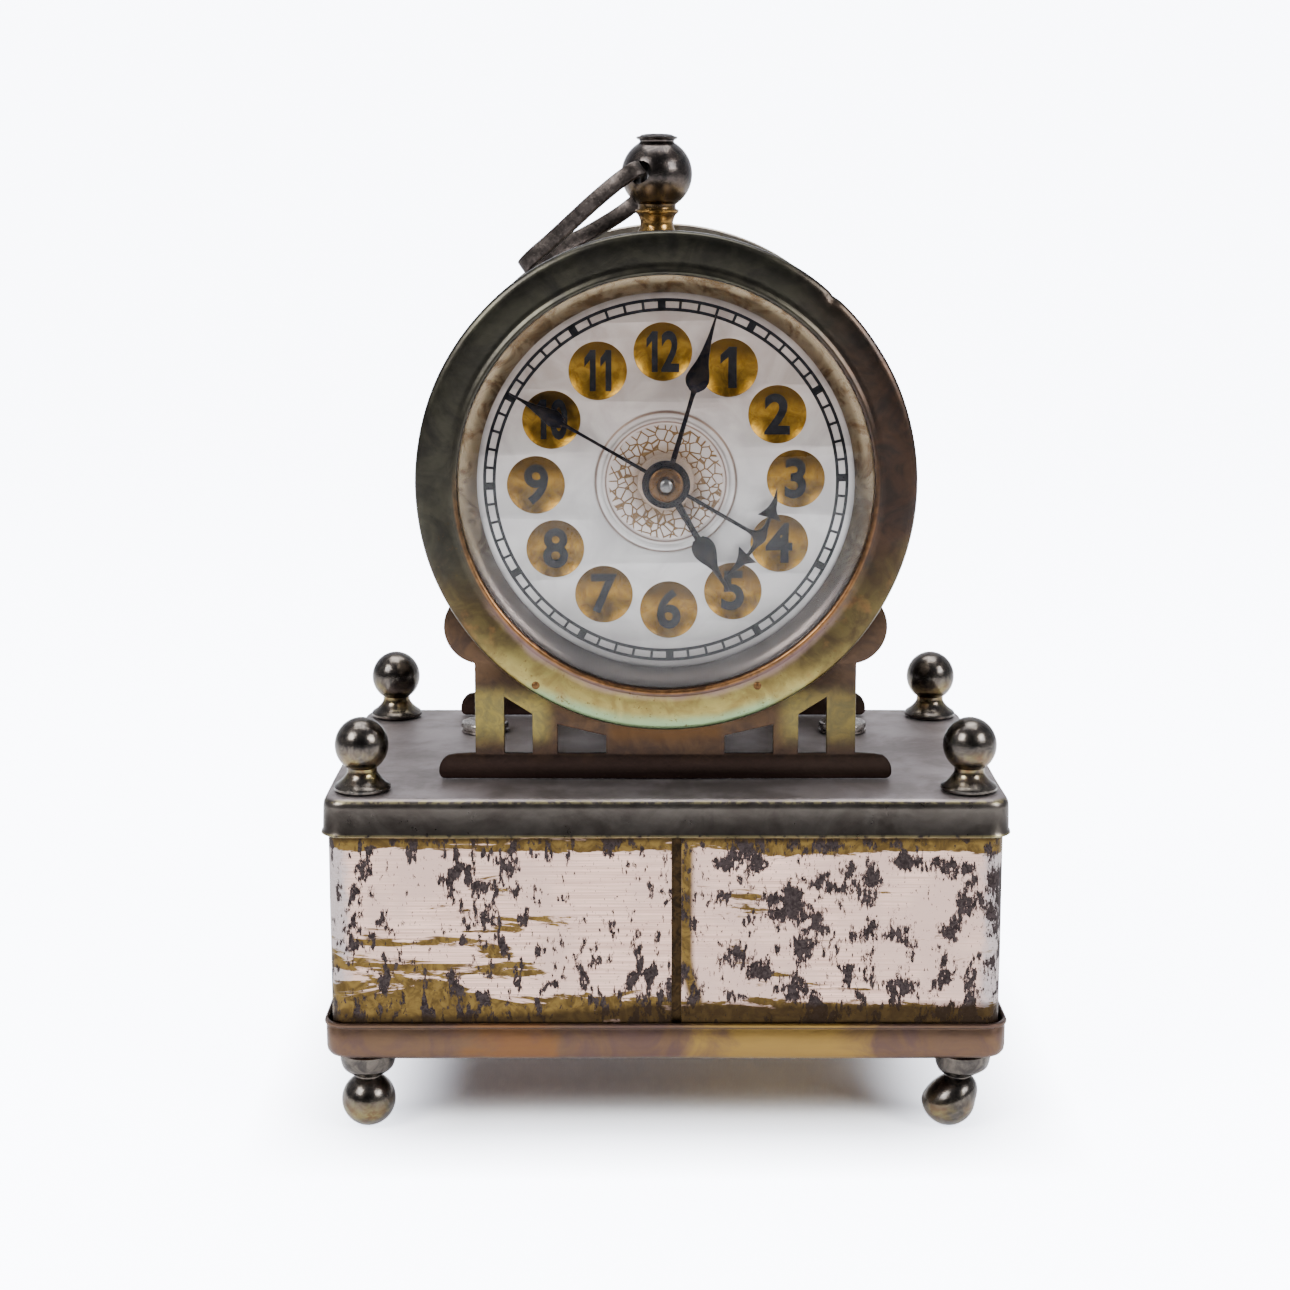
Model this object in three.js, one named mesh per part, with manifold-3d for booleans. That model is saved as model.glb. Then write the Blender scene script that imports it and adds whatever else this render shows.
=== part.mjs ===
// A mechanical table alarm clock: a drum clock between two fretted brackets on a hollow sheet-metal box.
// Millimetres, +Z up. X is the width, -Y is the front, and the origin is under the middle of the base.
import * as THREE from "three";
import { mergeVertices } from "three/addons/utils/BufferGeometryUtils.js";
import Module from "manifold-3d";

const wasm = await Module();
wasm.setup();

// ---- Driving dimensions ----
const GAP = 0.3; // clearance between pieces that touch on the real clock
const SHEET = 1.0; // sheet metal of the base
const FOOT_X = 67.5;
const FOOT_Y = 35.9;
const BALL_RADIUS = 6.1;
const FLANGE_RADIUS = 6.3;
const ROD_RADIUS = 1.5;

const TRAY = { width: 153.2, depth: 88.6, bottom: 18.1, top: 26.8, corner: 5 };
const BAND = { width: 149.6, depth: 86.4, corner: 4, seam: 2.2, seamX: 2.4 };
const LID = { width: 152.6, depth: 89.8, bottom: 69.8, top: 78.4, corner: 5, round: 2.6 };

const CLOCK_Z = 146.6; // height of the dial's centre
const DRUM_TURN = THREE.MathUtils.degToRad(-1.4); // the drum sits slightly turned in its brackets
const BEZEL = { radius: 55, front: -35.2, back: -27.5, lip: 45.6 };
const DRUM = { radius: 53, wall: 0.8, front: -28.5, back: 39.4 };
const COVER = { radius: 55.3, front: 37.0, back: 41.2 };
const DIAL = { radius: 51.4, front: -28.8, back: -26.4 };
const CUP = { count: 12, circle: 28.7, radius: 6.4, depth: 1.5 };
const BRACKET = { frontY: -27.2, rearY: 35.4, thickness: 1.6 };
const FRONT_PLATE = { front: -18.0, back: -16.4, radius: 51.8 };
const BACK_PLATE = { front: 10.0, back: 11.6, radius: 47 };
const KEY = { y: 51.2, wing: [8.2, 4.6] };
const CROWN = { x: -1.9, ball: 8.1, centre: 213.7, neckRadius: 4.2 };

// Arbor places in the plane of the dial, [x, z] from the dial's centre.
const PLACE = {
  centre: [0, 0],
  barrel: [12, -12],
  third: [3.35, 12.52],
  fourth: [12.93, 16.01],
  escape: [18.14, 22.21],
  pallet: [12.4, 27.0],
  balance: [1.6, 31.2],
  minuteWheel: [0, 10],
  alarmSet: [-14.2, 2.4],
  alarmBarrel: [-22, -14],
  alarmEscape: [-26.79, -0.84],
  hammer: [-24.6, 7.6],
  bell: [-12, 27],
  regulator: [16, 36],
  alarmStop: [-38, 10],
};
const TIME_MODULE = 0.5; // barrel and motion work
const CENTRE_MODULE = 0.36;
const TRAIN_MODULE = 0.3;
const ALARM_SET_MODULE = 0.6;

// ---- Finishes ----
function finish(colour, metalness, roughness) {
  return new THREE.MeshStandardMaterial({ color: colour, metalness, roughness });
}
const FINISH = {
  brass: finish(0x9a8a55, 1, 0.4),
  darkBrass: finish(0x4a453c, 1, 0.35),
  gunmetal: finish(0x3b3836, 1, 0.25),
  silver: finish(0xc9bdb2, 1, 0.45),
  copper: finish(0x8c7764, 1, 0.4),
  blued: finish(0x23252b, 0.9, 0.3),
  steel: finish(0x9a9a9a, 1, 0.3),
  dial: finish(0xb4b0ab, 0.6, 0.5),
  glass: finish(0xe8eef0, 0, 0.05),
};

// ---- Shape helpers ----
function solid(geometry) {
  const bare = geometry.index ? geometry.toNonIndexed() : geometry.clone();
  bare.deleteAttribute("normal");
  bare.deleteAttribute("uv");
  const merged = mergeVertices(bare, 1e-4);
  const vertProperties = merged.attributes.position.array;
  const triVerts = new Uint32Array(merged.index.array);
  return new wasm.Manifold(new wasm.Mesh({ numProp: 3, vertProperties, triVerts }));
}

function geometryOf(made) {
  const mesh = made.getMesh();
  const positions = new THREE.BufferAttribute(new Float32Array(mesh.vertProperties), 3);
  const geometry = new THREE.BufferGeometry().setAttribute("position", positions);
  geometry.setIndex(new THREE.BufferAttribute(new Uint32Array(mesh.triVerts), 1));
  geometry.computeVertexNormals();
  return geometry;
}

function fuse(...pieces) {
  return geometryOf(pieces.map(solid).reduce((whole, next) => whole.add(next)));
}

function cut(body, ...tools) {
  return geometryOf(tools.map(solid).reduce((left, tool) => left.subtract(tool), solid(body)));
}

// A turned piece: [radius, height] points, from the lower end out, up and back. Its axis is Y.
function turned(points, segments = 24) {
  const profile = points.map(([radius, height]) => new THREE.Vector2(radius, height));
  return new THREE.LatheGeometry(profile, segments);
}

// The same with its axis upright, along Z.
function turnedUp(points, segments = 12) {
  return turned(points, segments).rotateX(Math.PI / 2);
}

function rod([x, z], radius, from, to, segments = 8) {
  return turned([[0, from], [radius, from], [radius, to], [0, to]], segments).translate(x, 0, z);
}

function tube([x, z], inner, outer, from, to, segments = 20) {
  const section = [[inner, from], [outer, from], [outer, to], [inner, to], [inner, from]];
  return turned(section, segments).translate(x, 0, z);
}

// A flat piece standing in the plane of the dial, between two depths. The shape's y becomes Z.
function plate(shape, from, to, curveSegments = 6) {
  const options = { depth: to - from, bevelEnabled: false, curveSegments };
  return new THREE.ExtrudeGeometry(shape, options).rotateX(Math.PI / 2).translate(0, to, 0);
}

// A flat piece lying level, between two heights.
function slab(shape, from, to, curveSegments = 4) {
  const options = { depth: to - from, bevelEnabled: false, curveSegments };
  return new THREE.ExtrudeGeometry(shape, options).translate(0, 0, from);
}

function roundedRectangle(width, depth, corner) {
  const x = width / 2;
  const y = depth / 2;
  const shape = new THREE.Shape();
  shape.moveTo(corner - x, -y);
  shape.absarc(x - corner, corner - y, corner, -Math.PI / 2, 0, false);
  shape.absarc(x - corner, y - corner, corner, 0, Math.PI / 2, false);
  shape.absarc(corner - x, y - corner, corner, Math.PI / 2, Math.PI, false);
  shape.absarc(corner - x, corner - y, corner, Math.PI, 1.5 * Math.PI, false);
  shape.closePath();
  return shape;
}

function box(x0, x1, y0, y1, z0, z1) {
  const geometry = new THREE.BoxGeometry(x1 - x0, y1 - y0, z1 - z0);
  return geometry.translate((x0 + x1) / 2, (y0 + y1) / 2, (z0 + z1) / 2);
}

// Level positions of the feet, rods and finials.
const CORNERS = {
  front_left: [-FOOT_X, -FOOT_Y],
  front_right: [FOOT_X, -FOOT_Y],
  rear_left: [-FOOT_X, FOOT_Y],
  rear_right: [FOOT_X, FOOT_Y],
};

// ---- The object's groups ----
const clock = new THREE.Group(); // everything placed from the dial's centre
clock.position.z = CLOCK_Z;
const whole = new THREE.Group();
whole.add(clock);
whole.position.y = -(KEY.y + KEY.wing[1] - LID.depth / 2) / 2; // centres it from the lid's front to the keys

function add(group, name, geometry, material) {
  const mesh = new THREE.Mesh(geometry, material);
  mesh.name = name;
  group.add(mesh);
  return mesh;
}

// ---- Base: feet, tray, band, lid, finials ----
const HOLE_RADIUS = ROD_RADIUS + GAP;

function footGeometry() {
  const points = [[0, 0], [2, 0]];
  for (let i = 1; i <= 4; i += 1) {
    const angle = THREE.MathUtils.degToRad(-90 + i * 36);
    points.push([BALL_RADIUS * Math.cos(angle), BALL_RADIUS + BALL_RADIUS * Math.sin(angle)]);
  }
  points.push([3.3, 12.2], [5.4, 13.6], [FLANGE_RADIUS, 15.4], [FLANGE_RADIUS, TRAY.bottom - GAP]);
  points.push([HOLE_RADIUS, TRAY.bottom - GAP], [HOLE_RADIUS, 9], [0, 9]);
  return turnedUp(points);
}

// One foot has been knocked inwards below its cup.
function knockedFoot(geometry) {
  const KNOCK = 3.0;
  const position = geometry.attributes.position;
  for (let i = 0; i < position.count; i += 1) {
    const drop = Math.min(Math.max((14 - position.getZ(i)) / 8, 0), 1);
    if (Math.hypot(position.getX(i), position.getY(i)) > HOLE_RADIUS + 0.01 || position.getZ(i) < 8.9) {
      position.setX(i, position.getX(i) - KNOCK * drop);
    }
  }
  return geometry;
}

function finialGeometry() {
  const points = [[HOLE_RADIUS, 0], [FLANGE_RADIUS, 0], [FLANGE_RADIUS, 1.2], [5.0, 2.8], [3.2, 4.0]];
  const centre = 10.1;
  for (let i = 1; i <= 5; i += 1) {
    const angle = THREE.MathUtils.degToRad(-70 + i * 28);
    points.push([6.0 * Math.cos(angle), centre + 6.2 * Math.sin(angle)]);
  }
  points.push([0, centre + 6.0], [0, 7], [HOLE_RADIUS, 7], [HOLE_RADIUS, 0]);
  return turnedUp(points);
}

for (const [corner, [x, y]] of Object.entries(CORNERS)) {
  const knocked = corner === "front_right";
  const foot = knocked ? knockedFoot(footGeometry()) : footGeometry();
  add(whole, `foot_${corner}`, foot.translate(x, y, 0), FINISH.gunmetal);
  const finial = finialGeometry().translate(x, y, LID.top + GAP);
  add(whole, `finial_${corner}`, finial, FINISH.gunmetal);
  const bar = turnedUp([[0, 9 + GAP], [ROD_RADIUS, 9 + GAP], [ROD_RADIUS, 85], [0, 85]], 8);
  add(whole, `tie_rod_${corner}`, bar.translate(x, y, 0), FINISH.steel);
}

function cornerHoles(from, to) {
  const section = [[0, from], [HOLE_RADIUS, from], [HOLE_RADIUS, to], [0, to]];
  return Object.values(CORNERS).map(([x, y]) => turnedUp(section, 8).translate(x, y, 0));
}

// A block with rounded upright corners and one rounded level edge.
function softBlock({ width, depth, corner, bottom, top }, round, roundedAbove) {
  const shape = roundedRectangle(width - 2 * round, depth - 2 * round, corner - round / 2);
  const height = top - bottom;
  const options = {
    depth: 2 * height,
    bevelEnabled: true,
    bevelThickness: round,
    bevelSize: round,
    bevelSegments: 3,
    curveSegments: 4,
  };
  const block = new THREE.ExtrudeGeometry(shape, options);
  block.translate(0, 0, roundedAbove ? top - round - 2 * height : bottom + round);
  const reach = width;
  const low = roundedAbove ? bottom - 4 * height : top;
  const high = roundedAbove ? bottom : top + 4 * height;
  return cut(block, box(-reach, reach, -reach, reach, low, high));
}

function inner({ width, depth, corner }) {
  return roundedRectangle(width - 2 * SHEET, depth - 2 * SHEET, corner - SHEET);
}

const tray = cut(
  softBlock(TRAY, 2.4, false),
  slab(inner(TRAY), TRAY.bottom + SHEET, TRAY.top + 1),
  ...cornerHoles(TRAY.bottom - 1, TRAY.bottom + 2),
);
add(whole, "base_tray", tray, FINISH.copper);

const bandBottom = TRAY.bottom + SHEET + GAP;
const bandTop = LID.top - SHEET - GAP;
const seamLeft = BAND.seamX - BAND.seam / 2;
const seamRight = BAND.seamX + BAND.seam / 2;
const frontFace = -BAND.depth / 2;
const band = cut(
  slab(roundedRectangle(BAND.width, BAND.depth, BAND.corner), bandBottom, bandTop),
  slab(inner(BAND), bandBottom - 1, bandTop + 1),
  box(seamLeft, seamRight, frontFace - 1, frontFace + 2, bandBottom - 1, bandTop + 1),
);
add(whole, "body_band", band, FINISH.silver);
const strapFront = frontFace + SHEET + GAP;
const strap = box(BAND.seamX - 6, BAND.seamX + 6, strapFront, strapFront + 0.8, bandBottom, bandTop);
add(whole, "seam_strap", strap, FINISH.brass);

const lid = cut(
  softBlock(LID, LID.round, true),
  slab(inner(LID), LID.bottom - 1, LID.top - SHEET),
  ...cornerHoles(LID.top - 2, LID.top + 1),
);
add(whole, "lid", lid, FINISH.darkBrass);

// Two low turned caps on the lid, behind the front bracket.
for (const [side, sign] of [["left", -1], ["right", 1]]) {
  const points = [[0, 0], [5.8, 0], [5.8, 1.6], [5.2, 2.4], [0, 2.7]];
  const cap = turnedUp(points).translate(44 * sign, 19.5, LID.top + GAP);
  add(whole, `lid_cap_${side}`, cap, FINISH.steel);
}

// ---- Brackets ----
// Both are alike: a base bar with rounded ends, legs, posts and round ears under the drum, with four windows.
const BAR_HEIGHT = 5.9;
const WINDOWS = [
  { near: 13.4, far: 24.3, nearTop: 88.6, farTop: 91.2 },
  { near: 30.0, far: 36.3, nearTop: 93.6, farTop: 97.6 },
];

function windowShape({ near, far, nearTop, farTop }, side) {
  const sill = LID.top + BAR_HEIGHT - GAP;
  const corners = [[near, sill], [far, sill], [far, farTop], [near, nearTop]];
  return new THREE.Shape(corners.map(([x, z]) => new THREE.Vector2(side * x, z)));
}

function bracketShape() {
  const bottom = LID.top + GAP;
  const bar = { half: 51.2, top: bottom + BAR_HEIGHT, round: 4.2 };
  const leg = 42.9;
  const ear = { x: 41.2, z: 113.6, radius: 8.5 };
  const cradle = DRUM.radius + GAP;
  // Where the ear's circle meets the leg below and the drum's cradle above.
  const reach = Math.hypot(ear.x, ear.z - CLOCK_Z);
  const lean = Math.atan2(ear.z - CLOCK_Z, ear.x);
  const opening = Math.acos((cradle ** 2 + reach ** 2 - ear.radius ** 2) / (2 * cradle * reach));
  const turn = Math.acos((ear.radius ** 2 + reach ** 2 - cradle ** 2) / (2 * ear.radius * reach));
  const cradleAngle = lean + opening;
  const EASE = 0.03; // the ear stops just short of the cradle, which eases the corner
  const earEnd = lean + Math.PI - turn - EASE;
  const earStart = -Math.acos((leg - ear.x) / ear.radius);
  const shape = new THREE.Shape();
  shape.moveTo(-bar.half, bottom);
  shape.lineTo(bar.half, bottom);
  shape.absarc(bar.half - bar.round, bar.top - bar.round, bar.round, 0, Math.PI / 2, false);
  shape.lineTo(leg, bar.top);
  shape.absarc(ear.x, ear.z, ear.radius, earStart, earEnd, false);
  shape.absarc(0, CLOCK_Z, cradle, cradleAngle, -Math.PI - cradleAngle, true);
  shape.absarc(-ear.x, ear.z, ear.radius, Math.PI - earEnd, Math.PI - earStart, false);
  shape.lineTo(-leg, bar.top);
  shape.absarc(-bar.half + bar.round, bar.top - bar.round, bar.round, Math.PI / 2, Math.PI, false);
  shape.closePath();
  return shape;
}

function bracketGeometry(y) {
  const windows = [-1, 1].flatMap((side) =>
    WINDOWS.map((place) => plate(windowShape(place, side), y - 1, y + BRACKET.thickness + 1)));
  return cut(plate(bracketShape(), y, y + BRACKET.thickness, 7), ...windows);
}
add(whole, "bracket_front", bracketGeometry(BRACKET.frontY), FINISH.brass);
add(whole, "bracket_rear", bracketGeometry(BRACKET.rearY), FINISH.brass);

// ---- Case of the clock ----
const drumInner = DRUM.radius - DRUM.wall;
const CROWN_STUD = 1.6;
const crownHole = turnedUp([[0, 40], [CROWN_STUD + GAP, 40], [CROWN_STUD + GAP, 60], [0, 60]], 8);
crownHole.translate(CROWN.x, 0, 0);
const drum = cut(tube([0, 0], drumInner, DRUM.radius, DRUM.front, DRUM.back, 32), crownHole);
add(clock, "drum_case", drum, FINISH.darkBrass);

const skirt = DRUM.radius + GAP;
const bezelSection = [
  [41.6, -29.5], [BEZEL.lip - 1.6, -33.1], [BEZEL.lip, -33.1], [BEZEL.lip, BEZEL.front],
  [BEZEL.radius - 0.5, BEZEL.front], [BEZEL.radius, BEZEL.front + 0.5], [BEZEL.radius, BEZEL.back],
  [skirt, BEZEL.back], [skirt, -33.9], [BEZEL.lip + 0.9, -33.9], [BEZEL.lip + 0.9, -32.2],
  [42.2, -29.3], [41.6, -29.5],
];
add(clock, "bezel", turned(bezelSection, 32), FINISH.brass);

const GLASS = { radius: BEZEL.lip - GAP, back: -33.4, rim: -34.6, apex: -41.0, thickness: 1.1 };
function shallowDome(edgeY, apexY, radius, steps) {
  const rise = edgeY - apexY;
  const sphere = (radius ** 2 + rise ** 2) / (2 * rise);
  const points = [];
  for (let i = 0; i <= steps; i += 1) {
    const r = (radius * i) / steps;
    points.push([r, apexY + sphere - Math.sqrt(sphere ** 2 - r ** 2)]);
  }
  return points;
}
const outerDome = shallowDome(GLASS.rim, GLASS.apex, GLASS.radius, 4);
const innerDome = shallowDome(GLASS.back, GLASS.apex + GLASS.thickness, GLASS.radius - 1.2, 4).reverse();
add(clock, "glass", turned([...outerDome, [GLASS.radius, GLASS.back], ...innerDome], 28), FINISH.glass);

function cupTool(angle) {
  const curve = (CUP.radius ** 2 + CUP.depth ** 2) / (2 * CUP.depth);
  const points = [[0, DIAL.front - 1], [CUP.radius, DIAL.front - 1]];
  for (let i = 2; i >= 0; i -= 1) {
    const r = (CUP.radius * i) / 2;
    points.push([r, DIAL.front + CUP.depth - curve + Math.sqrt(curve ** 2 - r ** 2)]);
  }
  const x = CUP.circle * Math.sin(angle);
  const z = CUP.circle * Math.cos(angle);
  return turned(points, 10).translate(x, 0, z);
}
const cups = [];
for (let hour = 1; hour <= CUP.count; hour += 1) {
  cups.push(cupTool((hour * 2 * Math.PI) / CUP.count + DRUM_TURN));
}
const dialBlank = turned([
  [4.2, DIAL.front], [13.9, DIAL.front], [14.9, DIAL.front - 0.6], [15.9, DIAL.front],
  [DIAL.radius, DIAL.front], [DIAL.radius, DIAL.back], [4.2, DIAL.back], [4.2, DIAL.front],
], 30);
add(clock, "dial", cut(dialBlank, ...cups), FINISH.dial);

// ---- Crown and bail ring ----
const TILT = THREE.MathUtils.degToRad(21); // the hole through the ball slopes down towards the back
const RING = { x: CROWN.x - 3.8, z: CROWN.centre - 2.2, drop: 0.58, hole: 2.4, width: 3.6, thickness: 1.7 };
const RING_SLIP = -0.6; // the ring hangs a little forward of the hole's middle, clear of the ball on both sides

function crownGeometry() {
  const base = 53.6 + CLOCK_Z;
  const neck = CROWN.neckRadius;
  const points = [[0, base - 2.6], [CROWN_STUD, base - 2.6], [CROWN_STUD, base], [neck + 0.1, base]];
  points.push([neck - 0.4, base + 1.4], [neck - 0.1, base + 3], [neck + 0.6, base + 4.3], [neck + 0.8, base + 5.1]);
  points.push([neck, base + 5.8]);
  for (let i = 0; i <= 5; i += 1) {
    const angle = THREE.MathUtils.degToRad(-57 + i * 23.4);
    points.push([CROWN.ball * Math.cos(angle), CROWN.centre + CROWN.ball * Math.sin(angle)]);
  }
  points.push([4.6, CROWN.centre + 7.0], [4.4, CROWN.centre + 7.9], [3.4, CROWN.centre + 8.8]);
  points.push([0, CROWN.centre + 9.1]);
  const body = turnedUp(points, 16).translate(CROWN.x, 0, 0);
  const drill = turned([[0, -12], [RING.hole, -12], [RING.hole, 12], [0, 12]], 12);
  drill.rotateX(-TILT).translate(RING.x, 0, RING.z);
  return cut(body, drill);
}
add(whole, "crown", crownGeometry(), FINISH.gunmetal);

// The bail's outline in its own plane: s runs away from the ball, t runs from front to back.
const BAIL = [
  [0, 0], [0, 6.2], [0.5, 9.5], [3.4, 10.8], [8, 10.4], [13.5, 8.8], [19, 6.4], [25, 3.8], [30, 2.2],
  [32.6, 0],
];

function bailGeometry() {
  const away = new THREE.Vector3(-Math.sqrt(1 - RING.drop ** 2), 0, -RING.drop);
  const along = new THREE.Vector3(0, Math.cos(TILT), -Math.sin(TILT));
  const normal = new THREE.Vector3().crossVectors(away, along).normalize();
  const start = new THREE.Vector3(RING.x, 0, RING.z).addScaledVector(along, RING_SLIP);
  const mirrored = BAIL.slice(1, -1).reverse().map(([s, t]) => [s, -t]);
  const points = [...BAIL, ...mirrored].map(([s, t]) =>
    start.clone().addScaledVector(away, s).addScaledVector(along, t));
  const curve = new THREE.CatmullRomCurve3(points, true, "centripetal");
  const STEPS = 44;
  const positions = [];
  const faces = [];
  for (let i = 0; i < STEPS; i += 1) {
    const centre = curve.getPointAt(i / STEPS);
    const side = new THREE.Vector3().crossVectors(curve.getTangentAt(i / STEPS), normal).normalize();
    for (const [u, v] of [[-1, -1], [1, -1], [1, 1], [-1, 1]]) {
      const corner = centre.clone().addScaledVector(side, (u * RING.thickness) / 2);
      corner.addScaledVector(normal, (v * RING.width) / 2);
      positions.push(corner.x, corner.y, corner.z);
    }
    for (let k = 0; k < 4; k += 1) {
      const a = 4 * i + k;
      const b = 4 * i + ((k + 1) % 4);
      const c = 4 * ((i + 1) % STEPS) + ((k + 1) % 4);
      const d = 4 * ((i + 1) % STEPS) + k;
      faces.push(a, d, b, b, d, c);
    }
  }
  const geometry = new THREE.BufferGeometry();
  geometry.setAttribute("position", new THREE.Float32BufferAttribute(positions, 3));
  geometry.setIndex(faces);
  geometry.computeVertexNormals();
  return geometry;
}
add(whole, "bail_ring", bailGeometry(), FINISH.gunmetal);

// ---- Back cover ----
function holesAt(entries, from, to) {
  return entries.map(([place, radius]) => rod(place, radius, from, to));
}
const soundHoles = [[...PLACE.bell]];
for (let i = 0; i < 6; i += 1) {
  const angle = (i * Math.PI) / 3;
  soundHoles.push([PLACE.bell[0] + 6.5 * Math.cos(angle), PLACE.bell[1] + 6.5 * Math.sin(angle)]);
}
const coverSection = [
  [0, COVER.back - 1.2], [skirt, COVER.back - 1.2], [skirt, COVER.front], [COVER.radius, COVER.front],
  [COVER.radius, COVER.back - 0.5], [COVER.radius - 0.5, COVER.back], [0, COVER.back],
];
const cover = cut(
  turned(coverSection, 32),
  ...holesAt([
    [PLACE.barrel, 1.7], [PLACE.alarmBarrel, 1.7], [PLACE.centre, 1.4], [PLACE.alarmSet, 1.4],
    [PLACE.alarmStop, 1.5],
    ...soundHoles.map((place) => [place, 1.8]),
  ], COVER.back - 2, COVER.back + 1),
  box(PLACE.regulator[0] - 2.6, PLACE.regulator[0] + 2, COVER.back - 2, COVER.back + 1,
    PLACE.regulator[1] - 4.4, PLACE.regulator[1] + 4.2),
);
add(clock, "back_cover", cover, FINISH.darkBrass);

// ---- Movement plates and pillars ----
function disc(radius) {
  const shape = new THREE.Shape();
  shape.absarc(0, 0, radius, 0, 2 * Math.PI, false);
  return shape;
}
const ARBORS = { barrel: 1.5, alarmBarrel: 1.5, centre: 1.2, third: 1.1, fourth: 1.1, escape: 1.1 };
Object.assign(ARBORS, { pallet: 1.1, balance: 1.1, alarmSet: 1.4, alarmEscape: 1.1, hammer: 1.1 });
function drilledPlate(radius, from, to, holes) {
  const shape = disc(radius);
  for (const [name, size] of Object.entries(holes)) {
    const hole = new THREE.Path();
    hole.absarc(PLACE[name][0], PLACE[name][1], size, 0, 2 * Math.PI, true);
    shape.holes.push(hole);
  }
  return plate(shape, from, to, 5);
}
const minutePost = rod(PLACE.minuteWheel, 0.8, -23.2, FRONT_PLATE.front + 0.5);
const frontPlate = drilledPlate(FRONT_PLATE.radius, FRONT_PLATE.front, FRONT_PLATE.back, ARBORS);
add(clock, "front_plate", fuse(frontPlate, minutePost), FINISH.brass);
const bellPost = rod(PLACE.bell, 1.6, BACK_PLATE.back - 0.5, 26.6);
const backPlate = drilledPlate(BACK_PLATE.radius, BACK_PLATE.front, BACK_PLATE.back, ARBORS);
add(clock, "back_plate", fuse(backPlate, bellPost), FINISH.brass);
for (let i = 0; i < 4; i += 1) {
  const angle = Math.PI / 4 + (i * Math.PI) / 2;
  const place = [41 * Math.cos(angle), 41 * Math.sin(angle)];
  const pillar = rod(place, 2.2, FRONT_PLATE.back + GAP, BACK_PLATE.front - GAP);
  add(clock, `pillar_${i + 1}`, pillar, FINISH.brass);
}

// ---- Gearing ----
// Slender pointed teeth, one of them pointing along the phase angle.
function gearShape(teeth, module, phase, centre = [0, 0]) {
  const pitch = (teeth * module) / 2;
  const root = pitch - 1.1 * module;
  const tip = pitch + 0.8 * module;
  const shape = new THREE.Shape();
  for (let i = 0; i < teeth; i += 1) {
    for (const [share, radius] of [[-0.5, root], [0, tip]]) {
      const angle = phase + ((i + share) * 2 * Math.PI) / teeth;
      const x = centre[0] + radius * Math.cos(angle);
      const z = centre[1] + radius * Math.sin(angle);
      if (i === 0 && share < 0) shape.moveTo(x, z);
      else shape.lineTo(x, z);
    }
  }
  shape.closePath();
  return shape;
}

function direction(from, to) {
  return Math.atan2(PLACE[to][1] - PLACE[from][1], PLACE[to][0] - PLACE[from][0]);
}

// A driving wheel's tooth points at the pinion, and the pinion has a gap there.
function wheel(at, teeth, module, towards, from, to) {
  return plate(gearShape(teeth, module, direction(at, towards), PLACE[at]), from, to);
}
function pinion(at, teeth, module, towards, from, to) {
  const phase = direction(at, towards) + Math.PI / teeth;
  return plate(gearShape(teeth, module, phase, PLACE[at]), from, to);
}
const ends = [-17.6, 11.2];
function arbor(at, radius = 0.7) {
  return rod(PLACE[at], radius, ends[0], ends[1]);
}

// Going train.
const barrelBody = tube(PLACE.barrel, 2.0, 13.4, -12, 8);
const barrelRim = wheel("barrel", 60, TIME_MODULE, "centre", -12, -10.4);
const barrelBore = rod(PLACE.barrel, 2.0, -13, 9, 20);
add(clock, "time_barrel", cut(fuse(barrelBody, barrelRim), barrelBore), FINISH.brass);
const centreWheel = cut(
  fuse(
    wheel("centre", 64, CENTRE_MODULE, "third", -15.4, -14.4),
    pinion("centre", 8, TIME_MODULE, "barrel", -14.6, -8),
  ),
  rod(PLACE.centre, 1.1, -17, 0),
);
add(clock, "centre_wheel", centreWheel, FINISH.brass);
add(clock, "third_wheel", fuse(
  arbor("third"),
  pinion("third", 8, CENTRE_MODULE, "centre", -15.6, -14.2),
  wheel("third", 60, TRAIN_MODULE, "fourth", -8, -7.2),
), FINISH.brass);
add(clock, "fourth_wheel", fuse(
  arbor("fourth", 0.6),
  pinion("fourth", 8, TRAIN_MODULE, "third", -8.4, -6.8),
  wheel("fourth", 48, TRAIN_MODULE, "escape", -4, -3.2),
), FINISH.brass);
add(clock, "escape_wheel", fuse(
  arbor("escape", 0.5),
  pinion("escape", 6, TRAIN_MODULE, "fourth", -4.4, -2.8),
  plate(gearShape(15, 0.6, 0.2, PLACE.escape), 0, 0.8),
), FINISH.brass);

// Pallet lever: two pins astride the escape wheel and a fork towards the balance.
function bar(from, to, width, y0, y1) {
  const [x0, z0] = from;
  const [x1, z1] = to;
  const length = Math.hypot(x1 - x0, z1 - z0);
  const geometry = new THREE.BoxGeometry(length, y1 - y0, width);
  geometry.rotateY(-Math.atan2(z1 - z0, x1 - x0));
  return geometry.translate((x0 + x1) / 2, (y0 + y1) / 2, (z0 + z1) / 2);
}
function polar([x, z], radius, degrees) {
  const angle = THREE.MathUtils.degToRad(degrees);
  return [x + radius * Math.cos(angle), z + radius * Math.sin(angle)];
}
const pinOne = polar(PLACE.escape, 6.2, 105);
const pinTwo = polar(PLACE.escape, 6.2, 175);
const forkEnd = polar(PLACE.pallet, 5.2, 159);
add(clock, "pallet_lever", fuse(
  arbor("pallet"),
  bar(PLACE.pallet, pinOne, 1.2, 1.6, 2.4),
  bar(PLACE.pallet, pinTwo, 1.2, 1.6, 2.4),
  bar(PLACE.pallet, forkEnd, 1.2, 1.6, 2.4),
  rod(pinOne, 0.4, -0.2, 2.2),
  rod(pinTwo, 0.4, -0.2, 2.2),
), FINISH.steel);

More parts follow.
